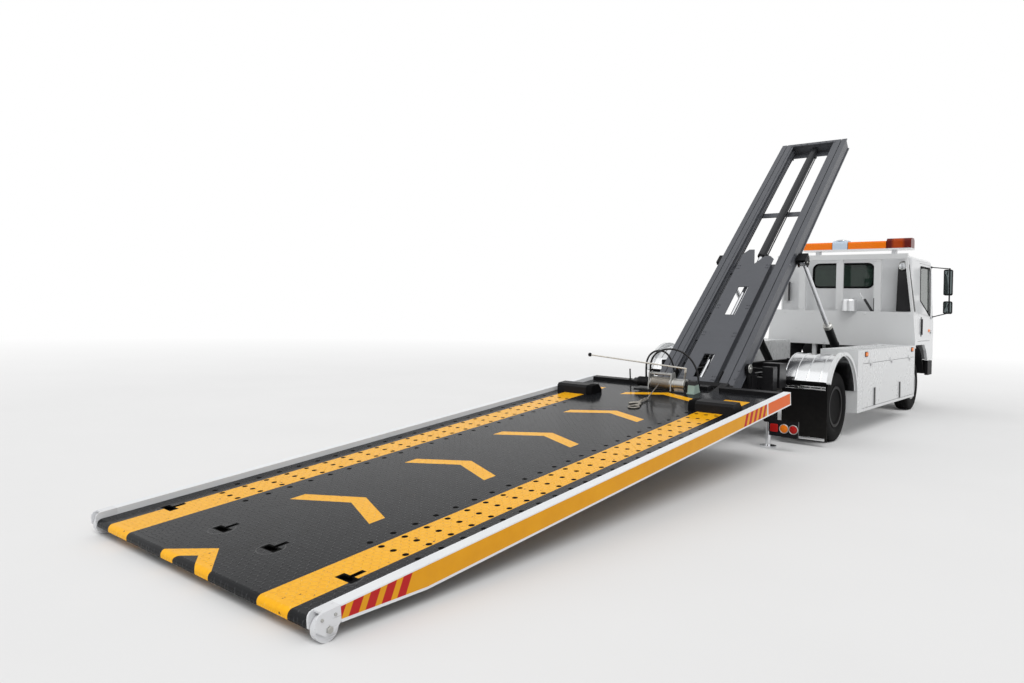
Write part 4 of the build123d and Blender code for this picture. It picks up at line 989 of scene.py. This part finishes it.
def wiper(y):
    """Arm, blade and pivot, lying on the windscreen from a pivot at y."""
    tip = screen_point(-0.345, y - 0.30, 0.026)
    arm = smooth_path([screen_point(-0.47, y, 0.006), screen_point(-0.44, y - 0.03, 0.022), tip], 24)
    blade = smooth_path([screen_point(-0.375, y - 0.60, 0.013), screen_point(-0.345, y - 0.30, 0.019),
                         screen_point(-0.335, y + 0.02, 0.013)], 30)
    boss = lathe([(0.0, 0.020), (0.016, 0.018), (0.020, 0.010)], 16)
    pivot = turned(boss, SCREEN_OUT, screen_point(-0.47, y, 0.0))
    return join(tube(arm, np.linspace(0.009, 0.005, 24), 8), tube(blade, 0.0065, 8), pivot)


window = rounded_outline(1.862, 0.80, 0.035)
screen_seal = ridge_loop(window, on_truck(SCREEN), ((0, 1, 0), SCREEN_UP), 0.034, 0.010)
window = rounded_outline(0.926, 0.375, 0.092, 8)
rear_seal = ridge_loop(window, on_truck((3.600, 0, 2.1045)), RIGHT_UP, 0.030, 0.010)
pane = [(z, x) for x, z in rounded_corners(PANE, 0.035)]
door_seal = ridge_loop(pane, on_truck((0, 1.0, 0)), UP_FORWARD, 0.022, 0.007)
piece("window_seals", [screen_seal, rear_seal], "rubber")
piece_each_side("door_seal", door_seal, "rubber", "cab_door")
piece("wipers", [wiper(0.72), wiper(0.02)], "plastic")
grille = [ridge_loop(rounded_outline(0.93, 0.265, 0.03), on_truck((FACE_X, 0, 1.147)), LEFT_UP, 0.022, 0.009)]
for z in 1.064 + 0.055 * np.arange(4):
    bar = np.stack([np.full(9, FACE_X - 0.010), np.linspace(-0.43, 0.43, 9), np.full(9, z)], -1)
    grille.append(tube(on_truck(bar), 0.006, 8))
piece("grille_frame", grille, "plastic")
lamp_face, lamp_height = FACE_X + 0.026, 0.853
glasses, rims, corners = [], [], []
for k in (1, -1):
    for y, r in ((0.715, 0.056), (0.838, 0.050)):
        place = on_truck((lamp_face - 0.001, k * y, lamp_height))
        glasses.append(turned(lens_dome(r, 0.008, 18), (1, 0, 0), place))
        rims.append(turned(bezel(r + 0.004, 0.012, 0.008), (1, 0, 0), place))
    place = on_truck((lamp_face - 0.002, k * 0.922, lamp_height))
    corners.append(loaf(place, (0.016, 0.052, 0.10), "x", 0.016))
    corners.append(loaf(on_truck((4.875, k * 1.001, 1.25)), (0.10, 0.016, 0.045), "y", 0.016))
piece("headlamp_glasses", glasses, "clear")
piece("headlamp_rims", rims, "plastic")
piece("turn_lamps", corners, "amber")
panes = [loaf(on_truck((5.0665, 1.225, z)), (0.006, 0.108, height), "x", 0.022)
         for z, height in ((2.055, 0.39), (1.640, 0.17))]
piece("mirror_glasses", both_sides(*panes), "mirror")
drip = [(3.66, 0.992, 2.352), (4.30, 0.998, 2.356), (4.86, 0.992, 2.352), (4.955, 0.985, 2.300)]
piece("roof_drip_rails", both_sides(tube(on_truck(smooth_path(drip, 40)), 0.007, 8)), "white")
recess = rounded_outline(0.30, 0.060, 0.02)
surround = ridge_loop(recess, on_truck((4.312, 1.0, 1.315)), UP_FORWARD, 0.012, 0.004)
piece_each_side("handle_surrounds", surround, "plastic", "cab_door")


# Work lamp on the intake, beacon's cap, and the bolts and strut on the headboard
work = on_truck((3.463, -0.905, 2.240))
piece("work_lamp_glass", turned(lens_dome(0.052, 0.010, 24), (-1, 0, 0), work), "clear")
piece("work_lamp_rim", turned(bezel(0.055, 0.013, 0.012), (-1, 0, 0), work), "winch")
cap = lathe([(0.0, 0.100), (0.006, 0.098), (0.016, 0.078), (0.026, 0.045), (0.032, 0.012)], 32)
piece("beacon_cap", turned(cap, (0, 0, 1), on_truck((4.240, 0.220, 2.722))), "clear")
rows = [(y, 1.500) for y in (-1.02, -0.85, -0.40, 0.40, 0.85, 1.02)]
rows += [(y, 1.040) for y in (-1.05, -0.60, -0.20, 0.20, 0.60, 1.05)]
rows += [(y, z) for y in (-0.60, -0.54, -0.04, 0.02, 0.545, 0.605) for z in (1.57, 2.32)]
piece("headboard_bolts", hex_bolts([on_truck((3.400, y, z)) for y, z in rows], (-1, 0, 0), 0.011), "white")
rod = ((-0.375, 1.722), (-0.352, 1.765), (-0.330, 1.806), (-0.322, 1.822))
piece("strut_rod", tube([on_truck((3.403, y, z)) for y, z in rod], 0.010, 10), "polished", slot="chrome")


# Lockers and mudguards
def at_marker_lamps(y, size, corner):
    """The same block at the four marker lamps on the lockers' sides."""
    centres = [on_truck((x, k * y, 0.995)) for x in (0.79, 3.11) for k in (1, -1)]
    return join(*[loaf(centre, size, "y", corner) for centre in centres])


piece("marker_lamps", at_marker_lamps(1.1435, (0.105, 0.022, 0.050), 0.014), "amber")
piece("marker_lamp_bases", at_marker_lamps(1.1415, (0.122, 0.010, 0.064), 0.016), "rubber")
rivet = lathe([(0.0, 0.006), (0.0018, 0.005), (0.0025, 0.002)], 8)
spots = [on_truck((x, 1.141, z)) for z in (1.022, 0.318) for x in np.linspace(0.56, 3.20, 12)]
piece("locker_rivets", both_sides(*[turned(rivet, (0, 1, 0), p) for p in spots]), "panel")
piece("mudguard_edges", both_sides(tube(guard_arc(0.5145, 8, 156, 1.107), 0.0075, 10)), "polished")
ribs = [tube(guard_arc(0.5175, 10, 154, y), 0.0055, 8) for y in (0.612, 0.740, 0.870, 1.010)]
piece("mudguard_ribs", both_sides(*ribs), "polished")
strips = [loaf(on_truck((-0.5380, 0.855, z)), (0.007, 0.46, h), "y", 0.003)
          for z, h in ((0.662, 0.014), (0.636, 0.014), (0.085, 0.030))]
piece("flap_strips", both_sides(*strips), "polished")
spots = [on_truck((-0.5415, y, 0.649)) for y in (0.67, 0.79, 0.92, 1.04)]
piece("flap_bolts", both_sides(hex_bolts(spots, (-1, 0, 0), 0.008)), "winch")
roll = [(x, y, 0.700) for x, y in ((-0.532, 0.604), (-0.535, 0.75), (-0.535, 0.95), (-0.532, 1.100))]
roll_radius = np.concatenate([[0.012, 0.018], np.full(20, 0.021), [0.018, 0.012]])
piece("flap_rolls", both_sides(tube(on_truck(smooth_path(roll, 24)), roll_radius, 14)), "rubber")


# Tail lamps on their boards, stabiliser collars and chassis bolts
def on_lamp_board(shape, y):
    return turned(shape, (-1, 0, 0), on_truck((-1.120, y, 0.245)))


reds, ambers, rims = [], [], []
for k in (1, -1):
    reds.append(on_lamp_board(lens_dome(0.042, 0.012, 20), k * 0.950))
    ambers.append(on_lamp_board(lens_dome(0.042, 0.012, 20), k * 0.850))
    reds.append(loaf(on_truck((-1.124, k * 0.745, 0.245)), (0.014, 0.085, 0.085), "x", 0.014))
    rims += [on_lamp_board(bezel(0.046, 0.010, 0.008), k * y) for y in (0.950, 0.850)]
piece("tail_lamps_red", reds, "red")
piece("tail_lamps_amber", ambers, "amber")
piece("tail_lamp_rims", rims, "winch", slot="chrome")
collar = open_lathe([(0.0, 0.031), (0.0, 0.052), (0.016, 0.052), (0.020, 0.046), (0.020, 0.031)], 32)
collars = [turned(collar, (0, 0, -1), on_truck((-0.958, k * 0.619, 0.300))) for k in (1, -1)]
piece("leg_collars", collars, "black", outward=False)
spots = [on_truck((x, 0.420, z)) for x in np.arange(-0.80, 4.9, 0.19) for z in (0.615, 0.755)]
piece("chassis_bolts", both_sides(hex_bolts(spots, (0, 1, 0), 0.010)), "black")


# Tilt frame: bolts, pipes and pin locks
stations = (0.085, 0.135, 0.785, 0.835, 1.265, 1.315, 2.025, 2.075)
spots = [on_tilt((s, k * y, -0.026)) for s in stations for y in (0.172, 0.198) for k in (1, -1)]
piece("slide_plate_bolts", hex_bolts(spots, TILT_UP, 0.009), "grey", "slide_plate")
spots = [on_tilt((4.883, y, 0.0)) for y in (-0.27, -0.18, -0.09, 0.09, 0.18, 0.27)]
spots += [on_tilt((s, k * 0.445, 0.0)) for s in (0.10, 0.22) for k in (1, -1)]
piece("tilt_frame_bolts", hex_bolts(spots, TILT_UP, 0.010), "grey", "tilt_frame")
runs = []
for y in (0.300, -0.300, -0.278):
    path = [(s, y, -0.147) for s in (0.46, 1.5, 3.0, 4.60)] + [(4.70, y * 0.9, -0.140)]
    runs.append(tube(on_tilt(smooth_path(path, 40)), 0.0075, 10))
piece("tilt_frame_pipes", runs, "black", "tilt_frame")
pin_cap = lathe([(0.0, 0.050), (0.007, 0.048), (0.007, 0.014), (0.015, 0.011)], 24)
caps = [turned(pin_cap, (0, k, 0), (HINGE[0], k * 0.496, HINGE[2])) for k in (1, -1)]
piece("hinge_pin_caps", caps, "winch", "tilt_frame")
CLEVIS = (2.312, -0.190)
corners = ((0.0, 0.0), (0.045, 0.045), (-0.045, 0.045))
spots = [on_tilt((CLEVIS[0] + s, k * 0.584, CLEVIS[1] + h)) for s, h in corners for k in (1, -1)]
piece("clevis_bolts", side_bolts(spots, 0.012), "winch", "tilt_frame")


# Lift cylinders: gland nut and oil pipe on each barrel
BASE = np.array([2.330, 0, 0.450])
TOP = on_tilt((CLEVIS[0], 0, CLEVIS[1])) - [AXLE_X, 0, 0]
LIFT = (TOP - BASE) / np.linalg.norm(TOP - BASE)
LIFT_OFF = np.array([LIFT[2], 0, -LIFT[0]])
PIPE_RUN = ((0.16, 0.050), (0.17, 0.066), (0.22, 0.070), (0.70, 0.070), (1.22, 0.070), (1.27, 0.066),
            (1.28, 0.050))


def lift_point(along, off, y):
    return on_truck(BASE + along * LIFT + off * LIFT_OFF + [0, y, 0])


def gland_nut():
    """Ring with six flats: its radius dips by 2 mm where cos 6t is above 0.3."""
    profile = [(-0.052, 0.0555), (-0.050, 0.060), (-0.006, 0.060), (0.0, 0.056), (0.004, 0.044),
               (0.004, 0.0295)]
    return open_lathe(profile, 48, lambda t, y, r: -0.0020 * (np.cos(6 * t) > 0.3) * (r > 0.059))


clamp = open_lathe([(-0.014, 0.0560), (-0.014, 0.060), (0.014, 0.060), (0.014, 0.0560)], 40)
for side, k in SIDES.items():
    y = k * 0.520
    barrel = "lift_barrel_" + side
    nut = turned(gland_nut(), LIFT, lift_point(1.405, 0, y))
    piece("gland_nut_" + side, nut, "winch", barrel, outward=False)
    path = smooth_path([lift_point(along, off, y) for along, off in PIPE_RUN], 60)
    piece("lift_pipe_" + side, tube(path, 0.007, 10), "winch", barrel)
    clamps = [turned(clamp, LIFT, lift_point(along, 0, y)) for along in (0.42, 0.98)]
    piece("lift_pipe_clamps_" + side, clamps, "black", barrel, outward=False)


# Winch: motor fins, gearbox flanges, lever knob, the rope to its hook on the bed, and the marker post
def along_bed(shape, centre):
    """Carries a shape drawn about the origin on to the bed, turned with its slope."""
    v, f = shape
    return on_bed(v + np.asarray(centre, float)), f


def by_drum(shape, y, z=0.0):
    """Carries a shape to a place along the drum's axle and above it."""
    return along_bed(shape, (WINCH[0], WINCH[1] + y, WINCH[2] + z))


fin = open_lathe([(-0.003, 0.044), (-0.003, 0.0505), (0.003, 0.0505), (0.003, 0.044)], 40)
fins = [by_drum(fin, y) for y in np.linspace(0.272, 0.382, 8)]
piece("motor_fins", fins, "black", "bed", outward=False)
flange = lathe([(-0.006, 0.062), (0.006, 0.062), (0.008, 0.058), (0.008, 0.047)], 40)
piece("gearbox_flanges", [by_drum(flange, y) for y in (-0.150, -0.030)], "winch", "bed")
spots = [on_bed(p) for p in round_axle(0.051, -0.158, 8, centre=WINCH)]
piece("gearbox_bolts", hex_bolts(spots, (0, -1, 0), 0.006), "winch", "bed")
knob = lathe([(-0.022, 0.008), (-0.018, 0.015), (-0.008, 0.021), (0.004, 0.022), (0.014, 0.017),
              (0.021, 0.006)], 24)
piece("lever_knob", by_drum(knob, 1.015, 0.244), "plastic", "bed")
HOOK = np.array([-0.96, -0.045, SHEET_TOP + 0.012])
rope_start = np.array([WINCH[0] - 0.060, WINCH[1] + 0.12, WINCH[2]])
rope_end = HOOK + [0.200, 0.012, 0.004]
share = np.linspace(0, 1, 40)[:, None]
piece("winch_rope", tube(on_bed(rope_start + (rope_end - rope_start) * share), 0.0046, 8), "rope", "bed")


def chain_link(centre, turn):
    """Stadium loop: two half circles of 11 mm radius joined by 22 mm straights, leaning by turn."""
    a = np.linspace(0, TAU, 24, endpoint=False)
    x, w = 0.011 * np.cos(a) + 0.011 * np.sign(np.cos(a)), 0.011 * np.sin(a)
    path = np.stack([x, w * np.cos(turn), w * np.sin(turn)], -1) + centre
    return tube(on_bed(path), 0.0038, 8, closed=True)


links = [chain_link(HOOK + [0.045 + 0.034 * i, 0.002 * i, 0.004], (i % 2) * 1.1 + 0.2) for i in range(5)]
piece("hook_chain", links, "rope", "bed")
a = np.radians(np.linspace(-150, 110, 30))
bend = np.stack([-0.075 + 0.058 * np.cos(a), 0.058 * np.sin(a), 0 * a], -1)
shank = np.array([[0.040, 0.0, 0.0], [0.020, 0.0, 0.0], [0.0, 0.006, 0.0], [-0.010, 0.020, 0.0]])
hook_path = smooth_path(np.concatenate([shank, bend[::-1][3:]]) + HOOK, 60)
hook_radius = np.interp(np.linspace(0, 1, 60), [0, 0.2, 0.6, 1], [0.010, 0.012, 0.015, 0.007])
piece("winch_hook", tube(on_bed(hook_path), hook_radius, 12), "rope", "bed")
a = np.linspace(0, TAU, 36, endpoint=False)
ring = np.stack([-0.16 + 0.050 * np.cos(a), -0.05 + 0.050 * np.sin(a), np.full(36, -0.004)], -1) + HOOK
piece("hook_ring", tube(on_bed(ring), 0.0075, 10, closed=True), "rope", "bed")
post = tube(on_bed([(0.0, 0.62, z) for z in (0.090, 0.13, 0.17, 0.205)]), 0.008, 10)
foot = turned(lathe([(0.0, 0.020), (0.008, 0.018), (0.010, 0.009)], 18), BED_UP, on_bed((0.0, 0.62, 0.0885)))
piece("marker_post", [post, foot], "plastic", "bed")


# End blocks of the wheel stops, and dark pans under the keyholes, painted shade seen through them
def prism(outline, y0, y1, bevel):
    """Outline in X and Z carried along Y; the end rings shrink towards the middle by the bevel."""
    o = np.asarray(outline, float)
    middle = o.mean(0)
    rings = []
    for y, shrink in ((y0, bevel), (y0 + bevel, 0.0), (y1 - bevel, 0.0), (y1, bevel)):
        ring = middle + (o - middle) * (1 - shrink / np.linalg.norm(o - middle, axis=1)[:, None])
        rings.append(np.stack([ring[:, 0], np.full(len(o), y), ring[:, 1]], -1))
    n = len(o)
    ends = [np.arange(n)[::-1].tolist(), (np.arange(n) + 3 * n).tolist()]
    return np.concatenate(rings), grid_faces(4, n, wrap_columns=True) + ends


STOP_SECTION = np.array([(-0.199, 0.0), (-0.191, 0.069), (-0.170, 0.091), (-0.050, 0.091), (-0.001, 0.030),
                         (-0.001, 0.0)])
stops = []
for x, y0, y1 in ((-0.800, -0.6605, -0.590), (-0.620, 0.590, 0.6595)):
    v, f = prism(STOP_SECTION + [x, SHEET_TOP + 0.0005], y0, y1, 0.004)
    stops.append((on_bed(v), f))
piece("stop_end_blocks", stops, "rubber", "bed", slot="black_paint")


def pan(size, depth, wall):
    """Open pan: rounded rectangles as rings, down the outside, across the floor and up the inside."""
    w, h = size
    rings = ((0, 0), (0, -depth), (-2 * wall, wall - depth), (-2 * wall, 0))
    points = [np.column_stack([rounded_outline(w + d, h + d, 0.02 + d / 2), np.full(20, z)])
              for d, z in rings]
    faces = grid_faces(2, 20, wrap_columns=True)
    faces += [[i + 40 for i in f] for f in faces]
    faces += [[j, (j + 1) % 20, 60 + (j + 1) % 20, 60 + j] for j in range(20)]
    return np.concatenate(points), faces + [list(range(20, 40)), list(range(40, 60))]


# Painted shade: black pans under the keyholes stand in for the dark under the deck.
one_pan = pan((0.200, 0.150), 0.030, 0.003)
pans = [along_bed(one_pan, (DECK_TAIL + KEYHOLE_X + 0.030, y, SHEET_TOP - 0.0062)) for y in KEYHOLES]
piece("keyhole_pans", pans, "black", "bed")


# Hoses: their routes stand over the winch frame, from a port by the motor to a gland on the front beam
HOSE_D = 0.020
HOSE_LENGTHS = {"hose_short": 0.754, "hose_long": 0.933}
HOSE_ENDS = {"hose_short": (0.290, 0.060), "hose_long": (0.240, -0.215)}
HOSE_RISES = {
    "hose_short": ((0, 0.140), (0.04, 0.225), (0.19, 0.295), (0.45, 0.325), (0.72, 0.298), (0.89, 0.225),
                   (0.97, 0.140), (1.0, 0.058)),
    "hose_long": ((0, 0.140), (0.03, 0.228), (0.125, 0.300), (0.30, 0.340), (0.50, 0.345), (0.70, 0.310),
                  (0.85, 0.242), (0.95, 0.156), (1.0, 0.062)),
}


def hose_route(name):
    """Port, points at a share of the way to the gland and a height over the drum's axle, then the gland."""
    y0, y1 = HOSE_ENDS[name]
    middle = [(-0.215 + share * 0.195, y0 + share * (y1 - y0), WINCH[2] + rise)
              for share, rise in HOSE_RISES[name]]
    return on_bed([(-0.215, y0, 0.186)] + middle + [(-0.020, y1, 0.109)])


for name, length in HOSE_LENGTHS.items():
    route = hose_route(name)
    curve = bpy.data.curves.new(name + "_line", "CURVE")
    curve.dimensions = "3D"
    curve.bevel_depth = HOSE_D / 2
    curve.bevel_resolution = 4
    curve.use_fill_caps = True
    spline = curve.splines.new("NURBS")
    spline.points.add(len(route) - 1)
    spline.points.foreach_set("co", np.column_stack([route, np.ones(len(route))]).ravel())
    spline.order_u = 3
    spline.use_endpoint_u = True
    spline.resolution_u = 10
    curve.materials.append(MATERIALS["hose"])
    hose = placed(name + "_line", curve)
    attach(hose, "bed")
    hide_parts(name)


# Bed: roller axle nuts and bracket bolts at the tail
spots = [on_bed((ROLLER_LOCAL[0], k * RAIL_SIDE, ROLLER_LOCAL[1])) for k in (1, -1)]
piece("roller_axle_nuts", side_bolts(spots, 0.017), "winch", "bed")
spots = [on_bed((x, k * RAIL_SIDE, 0.065)) for x in (-5.43, -5.36) for k in (1, -1)]
piece("tail_bracket_bolts", side_bolts(spots, 0.008), "winch", "bed")
